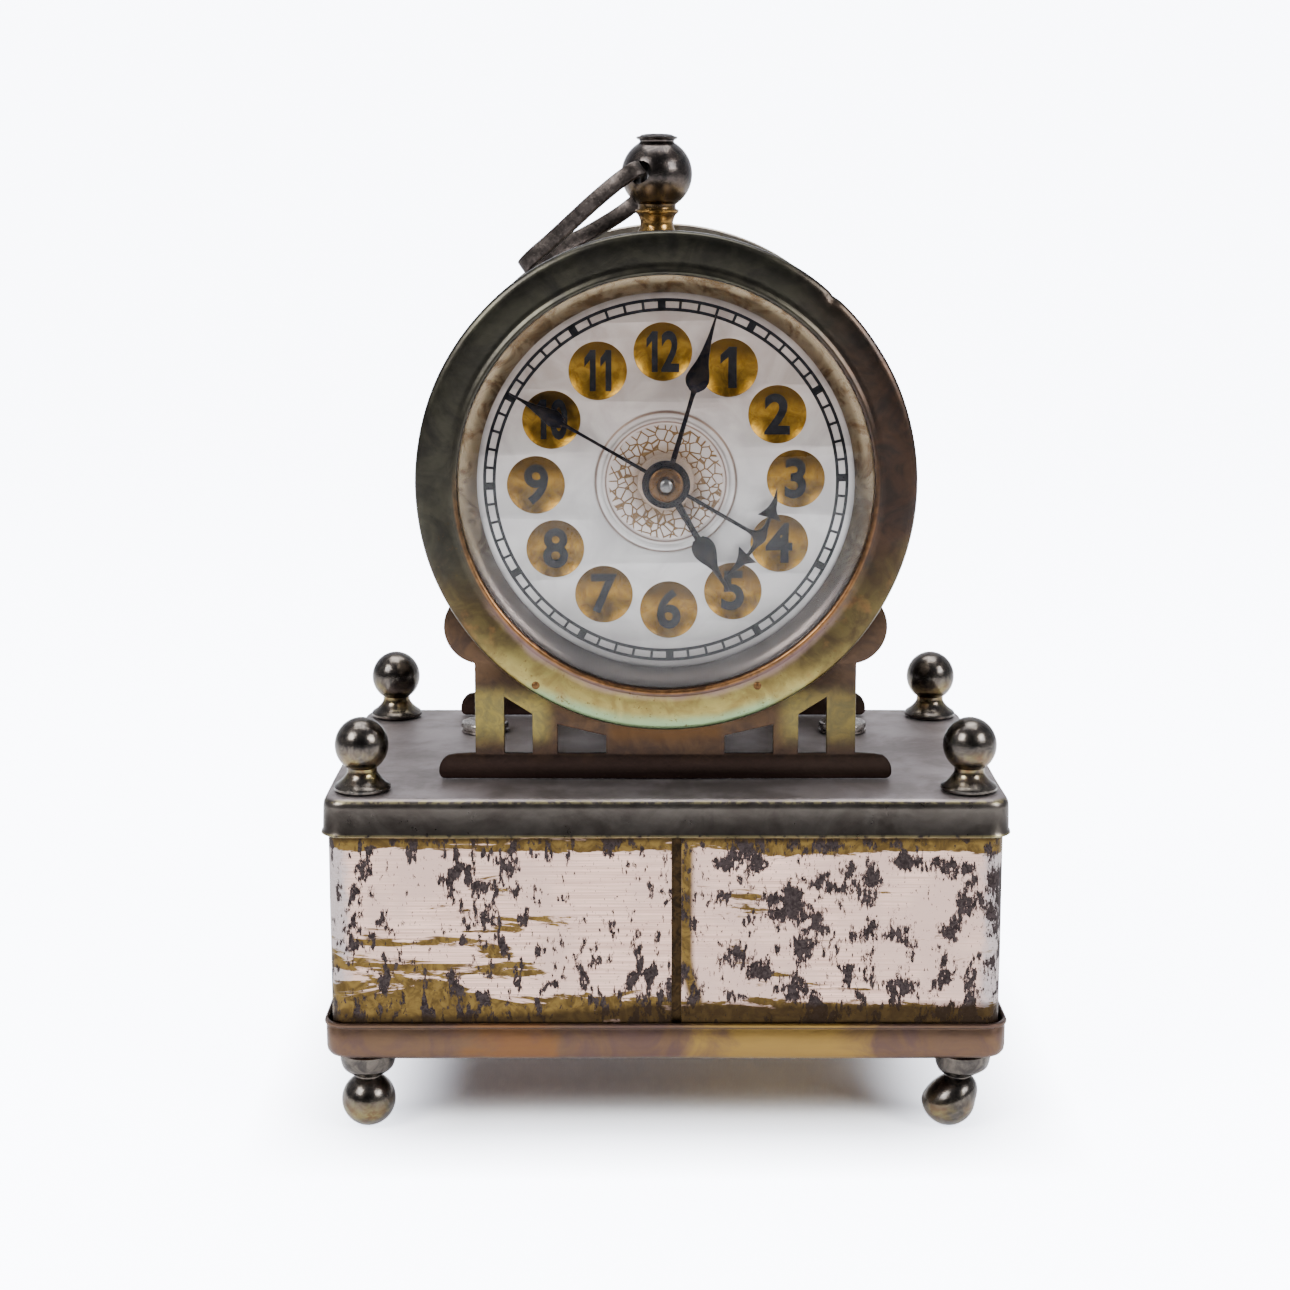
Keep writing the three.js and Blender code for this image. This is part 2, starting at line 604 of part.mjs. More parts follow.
// Balance wheel with a crossbar, and its hairspring.
add(clock, "balance_wheel", fuse(
  arbor("balance"),
  tube(PLACE.balance, 7.6, 9.2, 4, 5.4),
  bar(polar(PLACE.balance, 8, 20), polar(PLACE.balance, 8, 200), 1.4, 4.3, 5.1),
), FINISH.brass);
function hairspring() {
  const TURNS = 3.5;
  const STEPS = 40;
  const outline = [];
  for (const side of [1, -1]) {
    for (let k = 0; k <= STEPS; k += 1) {
      const i = side > 0 ? k : STEPS - k;
      const angle = (i / STEPS) * TURNS * 2 * Math.PI;
      const radius = 1.6 + (4.6 * i) / STEPS + 0.12 * side;
      outline.push(new THREE.Vector2(radius * Math.cos(angle), radius * Math.sin(angle)));
    }
  }
  const [x, z] = PLACE.balance;
  return plate(new THREE.Shape(outline), 7.2, 8.0).translate(x, 0, z);
}
add(clock, "hairspring", hairspring(), FINISH.steel);

// ---- Hands and motion work ----
const HUB = { tip: -37.0, collet: [-35.5, -34.2] };
add(clock, "centre_arbor", fuse(
  rod(PLACE.centre, 0.8, HUB.tip, 47.0),
  rod(PLACE.centre, 1.4, HUB.tip, HUB.collet[0] - GAP, 12),
), FINISH.steel);
add(clock, "cannon_pinion", cut(
  fuse(rod(PLACE.centre, 1.5, -33.9, -18.6), pinion("centre", 10, TIME_MODULE, "minuteWheel", -20.2, -18.6)),
  rod(PLACE.centre, 1.05, -40, -10),
), FINISH.steel);
add(clock, "minute_wheel", cut(
  fuse(
    wheel("minuteWheel", 30, TIME_MODULE, "centre", -20.0, -18.8),
    pinion("minuteWheel", 8, TIME_MODULE, "centre", -22.6, -19.8),
  ),
  rod(PLACE.minuteWheel, 1.05, -24, -15),
), FINISH.brass);
add(clock, "hour_wheel", cut(
  fuse(wheel("centre", 32, TIME_MODULE, "minuteWheel", -22.2, -21.2), rod(PLACE.centre, 2.4, -32.6, -21.2, 12)),
  rod(PLACE.centre, 1.8, -40, -10, 12),
), FINISH.brass);
add(clock, "alarm_pipe_wheel", cut(
  fuse(wheel("centre", 36, ALARM_SET_MODULE, "alarmSet", -24.6, -23.6), rod(PLACE.centre, 3.4, -31.4, -23.6, 12)),
  rod(PLACE.centre, 2.7, -40, -10, 12),
), FINISH.brass);

// A hand pointing up, then turned clockwise by degrees as seen from the front.
function hand(outline, degrees, from, to, hub, bore) {
  const angle = THREE.MathUtils.degToRad(degrees);
  const blade = plate(outline, from, to, 5).rotateY(angle);
  return cut(fuse(rod([0, 0], hub, from, to, 20), blade), rod([0, 0], bore, from - 2, to + 2, 12));
}

// Half widths from the hub outwards; the outline is closed by its mirror image.
function blade(stations) {
  const right = stations.map(([height, half]) => new THREE.Vector2(half, height));
  const left = stations.map(([height, half]) => new THREE.Vector2(-half, height)).reverse();
  return new THREE.Shape([...right, ...left]);
}
const minuteOutline = blade([
  [3, 0.65], [20.6, 0.5], [21.6, 1.2], [22.6, 2.2], [23.8, 2.6], [25.4, 2.3], [28.5, 1.3], [33, 0.6], [38.8, 0.15],
]);
add(clock, "minute_hand", hand(minuteOutline, 16.4, -33.9, -33.4, 5.3, 1.8), FINISH.blued);
const hourOutline = blade([
  [3, 0.9], [13.2, 0.7], [14.2, 1.4], [15.4, 2.3], [17.0, 2.6], [18.8, 2.1], [21.4, 0.9], [24, 0.5], [27.8, 0.15],
]);
add(clock, "hour_hand", hand(hourOutline, 150, -32.6, -32.1, 4.8, 2.7), FINISH.blued);

function alarmOutline() {
  const pointer = [
    [3, 0.5], [24.5, 0.35], [26, 0.9], [28.2, 1.9], [30.4, 1.5], [34.5, 0.55], [39.8, 0.12],
  ];
  const right = pointer.map(([z, x]) => new THREE.Vector2(x, z));
  const left = pointer.map(([z, x]) => new THREE.Vector2(-x, z)).reverse();
  // The tail is an anchor: a stem, a crown, and two arms that end in arrow heads pointing outwards.
  const arm = [
    [0.42, -3], [0.42, -21], [0.9, -22.5], [2.4, -23.3], [4.7, -23.3], [4.1, -21], [6.4, -22], [8.6, -22.2],
    [11.3, -21.7], [9, -23.2], [6.9, -24.2], [5.3, -26.2], [4.8, -24.1], [2.6, -24.5], [1.2, -25.1], [0.3, -25.4],
  ];
  const tail = [
    ...arm.map(([x, z]) => new THREE.Vector2(-x, z)),
    ...arm.map(([x, z]) => new THREE.Vector2(x, z)).reverse(),
  ];
  return new THREE.Shape([...right, ...left, ...tail]);
}
add(clock, "alarm_hand", hand(alarmOutline(), 300, -31.4, -30.9, 4.5, 3.7), FINISH.blued);
add(clock, "hand_collet", tube(PLACE.centre, 1.1, 3.8, HUB.collet[0], HUB.collet[1]), FINISH.brass);

// ---- Alarm work ----
const alarmBody = tube(PLACE.alarmBarrel, 2.0, 10.4, -12, -1);
const alarmRim = wheel("alarmBarrel", 48, TIME_MODULE, "alarmEscape", -12, -10.8);
add(clock, "alarm_barrel", cut(fuse(alarmBody, alarmRim), rod(PLACE.alarmBarrel, 2.0, -13, 1, 20)), FINISH.brass);
add(clock, "alarm_escape_wheel", fuse(
  arbor("alarmEscape"),
  pinion("alarmEscape", 8, TIME_MODULE, "alarmBarrel", -12.2, -10.4),
  plate(gearShape(12, 0.9, 0.1, PLACE.alarmEscape), 2, 3),
), FINISH.brass);
const hammerHead = polar(PLACE.bell, 21.2, 214);
add(clock, "alarm_hammer", fuse(
  rod(PLACE.hammer, 0.7, ends[0], 18.4),
  bar(PLACE.hammer, hammerHead, 1.6, 16.4, 17.6),
  rod(hammerHead, 2.0, 15.4, 19.4),
), FINISH.steel);
const bell = turned([
  [2.0, 24.6], [6, 24.5], [11, 23.4], [14.6, 21], [16.2, 17.8], [17, 15.2], [17.8, 15.2],
  [17.0, 18.2], [15.3, 21.8], [11.4, 24.6], [6.2, 25.7], [2.0, 25.8], [2.0, 24.6],
]).translate(PLACE.bell[0], 0, PLACE.bell[1]);
add(clock, "bell", bell, FINISH.brass);

// ---- Rear controls ----
function windingKey(at, reach) {
  const [x, z] = PLACE[at];
  const wing = new THREE.Shape();
  wing.absellipse(0, 0, ...KEY.wing, 0, 2 * Math.PI, false, 0);
  for (const side of [-1, 1]) {
    const hole = new THREE.Path();
    hole.absarc(4.6 * side, 0, 1.7, 0, 2 * Math.PI, true);
    wing.holes.push(hole);
  }
  const flat = slab(wing, -0.7, 0.7, 8).translate(x, KEY.y, z);
  return fuse(rod(PLACE[at], 1.2, reach, 48), rod(PLACE[at], 2.4, 43.2, 49), flat);
}
add(clock, "time_winding_key", windingKey("barrel", -17.4), FINISH.brass);
add(clock, "alarm_winding_key", windingKey("alarmBarrel", -17.4), FINISH.brass);

function knob(at, radius, from, to) {
  const TEETH = 14;
  const shape = new THREE.Shape();
  for (let i = 0; i < 2 * TEETH; i += 1) {
    const angle = (i * Math.PI) / TEETH;
    const r = i % 2 ? radius : radius - 0.5;
    const x = r * Math.cos(angle);
    const z = r * Math.sin(angle);
    if (i === 0) shape.moveTo(x, z);
    else shape.lineTo(x, z);
  }
  shape.closePath();
  return plate(shape, from, to).translate(PLACE[at][0], 0, PLACE[at][1]);
}
const KNOB = { from: 43.2, to: 46.6 };
add(clock, "hand_set_knob", cut(knob("centre", 5, KNOB.from, KNOB.to), rod([0, 0], 1.05, 40, 50)), FINISH.brass);
add(clock, "alarm_set_knob", fuse(
  knob("alarmSet", 4.4, KNOB.from, KNOB.to),
  rod(PLACE.alarmSet, 1.0, -25.4, KNOB.from + 1),
  pinion("alarmSet", 12, ALARM_SET_MODULE, "centre", -25.2, -23.0),
), FINISH.brass);

const regulatorTab = PLACE.regulator;
add(clock, "regulator_lever", fuse(
  tube(PLACE.balance, 1.5, 3.0, 12.0, 12.8, 12),
  bar(polar(PLACE.balance, 2.6, 18.4), regulatorTab, 1.6, 12.0, 12.8),
  rod(regulatorTab, 0.8, 12.2, 45.5),
), FINISH.steel);

const stopTop = polar(PLACE.alarmStop, 11, 60);
add(clock, "alarm_stop_lever", fuse(
  rod(PLACE.alarmStop, 1.1, 15, 43.6),
  rod(PLACE.alarmStop, 2.2, 42.4, 43.8),
  bar(PLACE.alarmStop, stopTop, 2.2, 42.6, 43.8),
  rod(stopTop, 1.8, 42.4, 46.0),
  bar(PLACE.alarmStop, polar(PLACE.alarmStop, 5, 0), 1.4, 15.2, 16.2),
), FINISH.steel);

export default whole;
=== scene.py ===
"""A mechanical table alarm clock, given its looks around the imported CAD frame.

Lengths are in millimetres until mesh_piece() makes them metres. A piece is drawn in the clock's own places:
x to the right, y to the back from the middle of the base, and z up from the floor.
"""
import math
import random

import bmesh
import bpy
from mathutils import Matrix, Vector, noise


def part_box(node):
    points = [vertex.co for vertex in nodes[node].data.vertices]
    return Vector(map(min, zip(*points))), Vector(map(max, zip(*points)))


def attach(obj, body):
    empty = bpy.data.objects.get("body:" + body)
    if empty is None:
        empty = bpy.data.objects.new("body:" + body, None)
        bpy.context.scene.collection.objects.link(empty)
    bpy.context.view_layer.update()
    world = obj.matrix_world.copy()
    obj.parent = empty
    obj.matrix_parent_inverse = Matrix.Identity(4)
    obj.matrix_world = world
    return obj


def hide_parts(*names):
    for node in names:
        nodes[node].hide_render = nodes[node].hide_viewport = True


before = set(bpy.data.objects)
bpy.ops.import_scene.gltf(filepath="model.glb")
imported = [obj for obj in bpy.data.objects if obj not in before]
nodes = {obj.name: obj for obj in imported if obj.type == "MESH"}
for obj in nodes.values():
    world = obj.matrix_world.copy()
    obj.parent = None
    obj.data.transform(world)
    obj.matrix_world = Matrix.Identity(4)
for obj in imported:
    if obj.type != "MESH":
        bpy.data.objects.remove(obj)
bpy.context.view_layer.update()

MM = 0.001
TAU = 2 * math.pi


def middle(node, axis):
    low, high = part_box(node)
    return (low[axis] + high[axis]) / 2 / MM


BASE_Y = middle("lid", 1)
CLOCK_Z = middle("bezel", 2)
LID_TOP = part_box("lid")[1].z / MM

# ---------------------------------------------------------------- mesh helpers


def mesh_piece(name, geometry, material, body="frame", replaces=(), crease=32):
    """Makes one piece from (vertices in mm, faces), smooth but for edges sharper than crease degrees."""
    points, faces = geometry
    mesh = bpy.data.meshes.new(name)
    mesh.from_pydata([(x * MM, (y + BASE_Y) * MM, z * MM) for x, y, z in points], [], faces)
    work = bmesh.new()
    work.from_mesh(mesh)
    bmesh.ops.remove_doubles(work, verts=work.verts, dist=1e-7)
    bmesh.ops.recalc_face_normals(work, faces=work.faces)
    work.to_mesh(mesh)
    work.free()
    mesh.shade_smooth()
    mesh.set_sharp_from_angle(angle=math.radians(crease))
    mesh.materials.append(material)
    piece = bpy.data.objects.new(name, mesh)
    bpy.context.scene.collection.objects.link(piece)
    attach(piece, body)
    if replaces:
        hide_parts(*replaces)
    return piece


def joined(*parts):
    """Several (vertices, faces) as one."""
    points, faces = [], []
    for part_points, part_faces in parts:
        start = len(points)
        points.extend(part_points)
        faces.extend([start + i for i in face] for face in part_faces)
    return points, faces


def moved(geometry, x=0, y=0, z=0):
    return [(px + x, py + y, pz + z) for px, py, pz in geometry[0]], geometry[1]


def arc(cx, cy, radius, start, end, steps):
    """Points on an arc, angles in degrees."""
    angles = [math.radians(start + (end - start) * i / steps) for i in range(steps + 1)]
    return [(cx + radius * math.cos(a), cy + radius * math.sin(a)) for a in angles]


def smooth(points, steps=6, closed=False):
    """A Catmull-Rom curve through the points."""
    count = len(points)
    result = []
    for i in range(count if closed else count - 1):
        quad = [points[(i + k) % count] if closed else points[min(max(i + k, 0), count - 1)] for k in (-1, 0, 1, 2)]
        for step in range(steps):
            t = step / steps
            result.append(tuple(
                0.5 * (2 * b + (c - a) * t + (2 * a - 5 * b + 4 * c - d) * t * t + (3 * b - a - 3 * c + d) * t ** 3)
                for a, b, c, d in zip(*quad)))
    if not closed:
        result.append(tuple(points[-1]))
    return result


def lathe(profile, centre=(0, 0), segments=96, upright=False):
    """Turns [(radius, height)] round an axis through centre: level along y, or upright along z."""
    closed = profile[0] == profile[-1]
    rows, points = [], []
    for radius, height in profile[:-1] if closed else profile:
        row = []
        for k in range(segments if radius > 1e-6 else 1):
            a = TAU * k / segments
            side, other = centre[0] + radius * math.cos(a), centre[1] + radius * math.sin(a)
            row.append(len(points))
            points.append((side, other, height) if upright else (side, height, other))
        rows.append(row)
    faces = []
    for low, high in zip(rows, rows[1:] + rows[:1] if closed else rows[1:]):
        for k in range(segments):
            n = (k + 1) % segments
            face = [low[k % len(low)], low[n % len(low)], high[n % len(high)], high[k % len(high)]]
            faces.append(list(dict.fromkeys(face)))
    return points, [face for face in faces if len(face) > 2]


def plate(outlines, front, back, bevel=0.2, level=False):
    """A bevelled flat piece from closed outlines, the inner ones holes. It stands between two depths, or lies level."""
    curve = bpy.data.curves.new("outline", "CURVE")
    curve.dimensions = "2D"
    curve.fill_mode = "BOTH"
    curve.extrude = (back - front) / 2 - bevel
    curve.bevel_depth = bevel
    curve.bevel_resolution = 1
    curve.offset = -bevel
    for outline in outlines:
        spline = curve.splines.new("POLY")
        spline.points.add(len(outline) - 1)
        spline.use_cyclic_u = True
        for point, (x, y) in zip(spline.points, outline):
            point.co = (x, y, 0, 1)
    holder = bpy.data.objects.new("outline", curve)
    bpy.context.scene.collection.objects.link(holder)
    bpy.context.view_layer.update()
    mesh = bpy.data.meshes.new_from_object(holder.evaluated_get(bpy.context.evaluated_depsgraph_get()))
    middle_depth = (front + back) / 2
    points = [tuple(v.co) for v in mesh.vertices]
    faces = [list(p.vertices) for p in mesh.polygons]
    bpy.data.objects.remove(holder)
    bpy.data.curves.remove(curve)
    bpy.data.meshes.remove(mesh)
    if level:
        return [(x, y, z + middle_depth) for x, y, z in points], faces
    return [(x, middle_depth - z, y) for x, y, z in points], faces


def rounded_rectangle(width, depth, corner, corner_steps=8, side_steps=40):
    """Points round a rectangle from the middle of its front side, counter-clockwise from above."""
    x, y = width / 2 - corner, depth / 2 - corner
    loop = []
    for cx, cy, start in ((x, -y, -90), (x, y, 0), (-x, y, 90), (-x, -y, 180)):
        loop.extend(arc(cx, cy, corner, start, start + 90, corner_steps))
    filled = []
    for (ax, ay), (bx, by) in zip(loop, loop[1:] + loop[:1]):
        length = math.hypot(bx - ax, by - ay)
        pieces = max(1, round(length / max(width, depth) * side_steps))
        filled.extend((ax + (bx - ax) * i / pieces, ay + (by - ay) * i / pieces) for i in range(pieces))
    return filled


def lofted_box(width, depth, corner, levels):
    """A closed shell: rounded rectangles, each level an (inset, height), with flat ends."""
    points, faces = [], []
    count = 0
    for inset, height in levels:
        loop = rounded_rectangle(width, depth, corner)
        count = len(loop)
        share_x, share_y = 1 - 2 * inset / width, 1 - 2 * inset / depth
        points.extend((x * share_x, y * share_y, height) for x, y in loop)
    for level in range(len(levels) - 1):
        for k in range(count):
            n = (k + 1) % count
            a, b = level * count, (level + 1) * count
            faces.append([a + k, a + n, b + n, b + k])
    faces.append(list(range(count)))
    faces.append([(len(levels) - 1) * count + k for k in range(count)])
    return points, faces


def sweep(centres, normals, section):
    """A closed tube with one flat section, [(across, along the normal)], carried round a closed path."""
    points, faces = [], []
    count, sides = len(centres), len(section)
    for i, centre in enumerate(centres):
        tangent = (centres[(i + 1) % count] - centres[i - 1]).normalized()
        side = tangent.cross(normals[i]).normalized()
        points.extend(tuple(centre + side * u + normals[i] * v) for u, v in section)
    for i in range(count):
        for k in range(sides):
            j, n = (i + 1) % count, (k + 1) % sides
            faces.append([i * sides + k, i * sides + n, j * sides + n, j * sides + k])
    return points, faces


def uneven(geometry, amount, size, seed=0.0):
    """Sheet metal that isn't quite true: each point is nudged by smooth noise."""
    result = []
    for x, y, z in geometry[0]:
        place = Vector((x / size, y / size, z / size + seed))
        nudge = noise.noise_vector(place) * amount
        result.append((x + nudge.x, y + nudge.y, z + nudge.z * 0.5))
    return result, geometry[1]


# ------------------------------------------------------------ material helpers


def rgb(red, green, blue):
    """An sRGB colour of 0 to 255 as a linear one."""
    def linear(value):
        value /= 255
        return value / 12.92 if value <= 0.04045 else ((value + 0.055) / 1.055) ** 2.4
    return (linear(red), linear(green), linear(blue), 1.0)


class Surface:
    """A procedural material. Its patterns are laid out in millimetres on the piece."""

    def __init__(self, name, metallic=1.0, roughness=0.4, **sockets):
        self.material = bpy.data.materials.new(name)
        self.material.use_nodes = True
        self.tree = self.material.node_tree
        self.shader = self.tree.nodes["Principled BSDF"]
        self.shader.inputs["Metallic"].default_value = metallic
        self.shader.inputs["Roughness"].default_value = roughness
        for key, value in sockets.items():
            self.shader.inputs[key.replace("_", " ")].default_value = value
        coordinates = self.tree.nodes.new("ShaderNodeTexCoord")
        scale = self.node("ShaderNodeVectorMath", operation="SCALE")
        scale.inputs["Scale"].default_value = 1 / MM
        self.link(coordinates.outputs["Object"], scale.inputs[0])
        self.place = scale.outputs[0]
        parts = self.node("ShaderNodeSeparateXYZ")
        self.link(self.place, parts.inputs[0])
        self.x, self.y, self.z = parts.outputs

    def node(self, kind, **settings):
        made = self.tree.nodes.new(kind)
        for key, value in settings.items():
            setattr(made, key, value)
        return made

    def link(self, source, target):
        if isinstance(source, (int, float, tuple)):
            target.default_value = source
        else:
            self.tree.links.new(source, target)

    def stretched(self, stretch, shift=(0, 0, 0)):
        mapping = self.node("ShaderNodeMapping")
        mapping.inputs["Scale"].default_value = stretch
        mapping.inputs["Location"].default_value = shift
        self.link(self.place, mapping.inputs["Vector"])
        return mapping.outputs[0]

    def noise(self, scale, detail=4, rough=0.55, stretch=(1, 1, 1), shift=(0, 0, 0), warp=0.0):
        made = self.node("ShaderNodeTexNoise")
        self.link(self.stretched(stretch, shift), made.inputs["Vector"])
        made.inputs["Scale"].default_value = scale
        made.inputs["Detail"].default_value = detail
        made.inputs["Roughness"].default_value = rough
        made.inputs["Distortion"].default_value = warp
        return made.outputs["Fac"]

    def cells(self, scale, feature="DISTANCE_TO_EDGE", stretch=(1, 1, 1)):
        made = self.node("ShaderNodeTexVoronoi", feature=feature)
        self.link(self.stretched(stretch), made.inputs["Vector"])
        made.inputs["Scale"].default_value = scale
        return made.outputs["Distance"]

    def math(self, operation, a, b=0.0, clamp=False):
        made = self.node("ShaderNodeMath", operation=operation, use_clamp=clamp)
        self.link(a, made.inputs[0])
        self.link(b, made.inputs[1])
        return made.outputs[0]

    def step(self, value, low, high):
        """0 below low and 1 above high, smooth between; the other way round if low is the larger."""
        made = self.node("ShaderNodeMapRange", interpolation_type="SMOOTHSTEP")
        self.link(value, made.inputs["Value"])
        made.inputs["From Min"].default_value = min(low, high)
        made.inputs["From Max"].default_value = max(low, high)
        made.inputs["To Min"].default_value = 0.0 if low < high else 1.0
        made.inputs["To Max"].default_value = 1.0 if low < high else 0.0
        return made.outputs["Result"]

    def within(self, value, low, high, soft):
        """1 between low and high, with soft edges."""
        rise = self.step(value, low - soft, low + soft)
        return self.math("MULTIPLY", rise, self.step(value, high + soft, high - soft))

    def mix(self, share, a, b):
        made = self.node("ShaderNodeMix", data_type="RGBA")
        self.link(share, made.inputs[0])
        self.link(a, made.inputs[6])
        self.link(b, made.inputs[7])
        return made.outputs[2]

    def blend(self, share, a, b):
        made = self.node("ShaderNodeMix", data_type="FLOAT")
        self.link(share, made.inputs[0])
        self.link(a, made.inputs[2])
        self.link(b, made.inputs[3])
        return made.outputs[0]

    def times(self, a, b):
        return self.math("MULTIPLY", a, b)

    def radius(self, centre_z=CLOCK_Z, centre_x=0.0):
        """Distance from an axis along y."""
        dx = self.math("SUBTRACT", self.x, centre_x)
        dz = self.math("SUBTRACT", self.z, centre_z)
        return self.math("SQRT", self.math("ADD", self.times(dx, dx), self.times(dz, dz)))

    def colour(self, source):
        self.link(source, self.shader.inputs["Base Color"])

    def roughness(self, source):
        self.link(source, self.shader.inputs["Roughness"])

    def bump(self, height, depth=0.1, strength=1.0):
        """Raises the surface by height times depth, in mm."""
        made = self.node("ShaderNodeBump")
        made.inputs["Strength"].default_value = strength
        made.inputs["Distance"].default_value = depth * MM
        self.link(height, made.inputs["Height"])
        self.link(made.outputs[0], self.shader.inputs["Normal"])

    def clouded(self, dark, light, scale=0.12, warp=1.5, detail=6):
        """A slow drift between two colours."""
        return self.mix(self.step(self.noise(scale, detail, 0.6, warp=warp), 0.35, 0.65), dark, light)


# ------------------------------------------------------------------- materials


def gunmetal():
    made = Surface("gunmetal", roughness=0.2)
    tone = made.clouded(rgb(58, 55, 53), rgb(92, 86, 80), 0.25)
    warm = made.clouded(rgb(122, 112, 76), rgb(100, 78, 56), 0.3)
    # The undersides of the balls are rubbed to brass.
    low_finial = made.within(made.z, LID_TOP + 3.0, LID_TOP + 9.0, 2.0)
    low_foot = made.within(made.z, 1.0, 6.0, 2.5)
    share = made.times(made.math("ADD", low_finial, low_foot, clamp=True), made.step(made.noise(0.2), 0.35, 0.6))
    made.colour(made.mix(share, tone, warm))
    made.roughness(made.blend(made.noise(0.8, 6), 0.13, 0.32))
    made.bump(made.noise(1.4, 5), 0.03)
    return made.material


def crown_metal():
    made = Surface("crown_metal", roughness=0.2)
    ball = made.clouded(rgb(50, 47, 46), rgb(78, 71, 67), 0.25)
    low = made.step(made.z, 213, 209)
    ball = made.mix(made.times(low, 0.8), ball, made.clouded(rgb(92, 74, 44), rgb(72, 58, 44), 0.3))
    neck = made.clouded(rgb(104, 78, 44), rgb(146, 116, 66), 0.5)
    edge = made.math("ADD", made.z, made.times(made.noise(0.4), 1.5))
    made.colour(made.mix(made.step(edge, 207.4, 206.2), ball, neck))
    made.roughness(made.blend(made.noise(0.9, 6), 0.14, 0.34))
    made.bump(made.noise(1.2, 5), 0.04)
    return made.material


def ring_steel():
    made = Surface("ring_steel", roughness=0.38)
    tone = made.clouded(rgb(44, 40, 38), rgb(66, 60, 57), 0.4)
    mottle = made.times(made.step(made.noise(1.6, 6, 0.7), 0.56, 0.68), 0.5)
    made.colour(made.mix(mottle, tone, rgb(98, 92, 89)))
    made.roughness(made.blend(made.noise(1.0, 6), 0.26, 0.5))
    made.bump(made.noise(2.2, 6), 0.06)
    return made.material


def silver_plate():
    """Silver plate, brushed along its length and worn through to dark flecks and to brass."""
    made = Surface("silver_plate", roughness=0.42)
    bottom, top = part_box("base_tray")[1].z / MM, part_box("lid")[0].z / MM
    grain = made.noise(1.0, 3, 0.5, stretch=(0.05, 0.05, 3.2))
    silver = made.mix(made.step(grain, 0.25, 0.75), rgb(182, 148, 134), rgb(230, 194, 178))
    silver = made.mix(made.step(made.noise(0.05, 4), 0.4, 0.65), silver, rgb(192, 162, 150))
    ends = made.step(made.math("ADD", made.math("ABSOLUTE", made.x), made.times(made.noise(0.5, 4), 4.0)), 71, 74)
    silver = made.mix(made.times(ends, 0.8), silver, made.mix(made.noise(2.0, 4, 0.7), rgb(96, 92, 94), rgb(186, 182, 184)))
    brass = made.clouded(rgb(72, 57, 32), rgb(106, 86, 46), 0.25)
    # Brass shows along the top and bottom edges, by the seam and in long wiped streaks at the left.
    wiped = made.noise(0.12, 6, 0.66, stretch=(0.3, 0.3, 1.5), warp=0.5)
    near_edge = made.math("MAXIMUM", made.step(made.z, bottom + 7.5, bottom + 2), made.step(made.z, top - 5, top - 2))
    share = made.math("ADD", wiped, made.times(near_edge, 0.26))
    left = made.times(made.step(made.x, -10, -62), made.step(made.z, top - 8, bottom + 6))
    share = made.math("ADD", share, made.times(left, 0.2))
    worn = made.step(share, 0.615, 0.655)
    seam = made.math("SUBTRACT", made.x, made.times(made.step(made.z, bottom + 16, bottom), 3.0))
    by_seam = made.times(made.within(seam, 3.0, 6.0, 0.8), made.step(made.y, 0, -20))
    worn = made.math("MAXIMUM", worn, by_seam)
    face = made.mix(worn, silver, brass)
    # Dark flecks with ragged upright edges: small on the left panel, gathered in larger clumps on the right.
    ragged = made.math("SUBTRACT", made.noise(1.3, 6, 0.75, stretch=(1.0, 1.0, 0.34)), 0.5)
    region = made.math("SUBTRACT", made.noise(0.04, 1, 0.5, shift=(9, 0, 4)), 0.5)
    fine = made.noise(0.4, 2, 0.5, stretch=(1.0, 1.0, 0.5), shift=(3.1, 0, 1.7))
    coarse = made.noise(0.22, 2, 0.5, stretch=(1.0, 1.0, 0.8), shift=(1.1, 0, 6.2))
    right_panel = made.step(made.x, 2, 4)
    raised = made.blend(right_panel, fine, coarse)
    raised = made.math("ADD", raised, made.times(ragged, 0.85))
    raised = made.math("ADD", raised, made.times(region, 0.4))
    edges = made.math("MAXIMUM", made.step(made.math("ABSOLUTE", made.x), 58, 72), made.step(made.z, top - 16, top))
    raised = made.math("ADD", raised, made.times(edges, 0.05))
    raised = made.math("ADD", raised, made.times(right_panel, 0.03))
    flecks = made.step(raised, 0.6, 0.615)
    small = made.noise(1.5, 3, 0.6, stretch=(1.0, 1.0, 0.45), shift=(5, 0, 8))
    flecks = made.math("MAXIMUM", flecks, made.step(small, 0.64, 0.66))
    dirt = made.clouded(rgb(40, 34, 34), rgb(66, 58, 58), 0.9)
    face = made.mix(flecks, face, dirt)
    deep = made.math("ADD", made.times(made.step(made.x, -40, 0), 2.6), made.times(made.noise(0.25, 5), 3.0))
    over = made.math("SUBTRACT", made.z, deep)
    grime = made.math("MAXIMUM", made.step(over, bottom + 1.4, bottom - 0.8), made.step(made.z, top - 1.8, top - 0.4))
    made.colour(made.mix(made.times(grime, 0.85), face, rgb(42, 32, 22)))
    made.roughness(made.blend(flecks, made.blend(grain, 0.3, 0.5), 0.62))
    made.bump(made.math("SUBTRACT", made.times(grain, 0.25), made.times(flecks, 0.8)), 0.06)
    return made.material


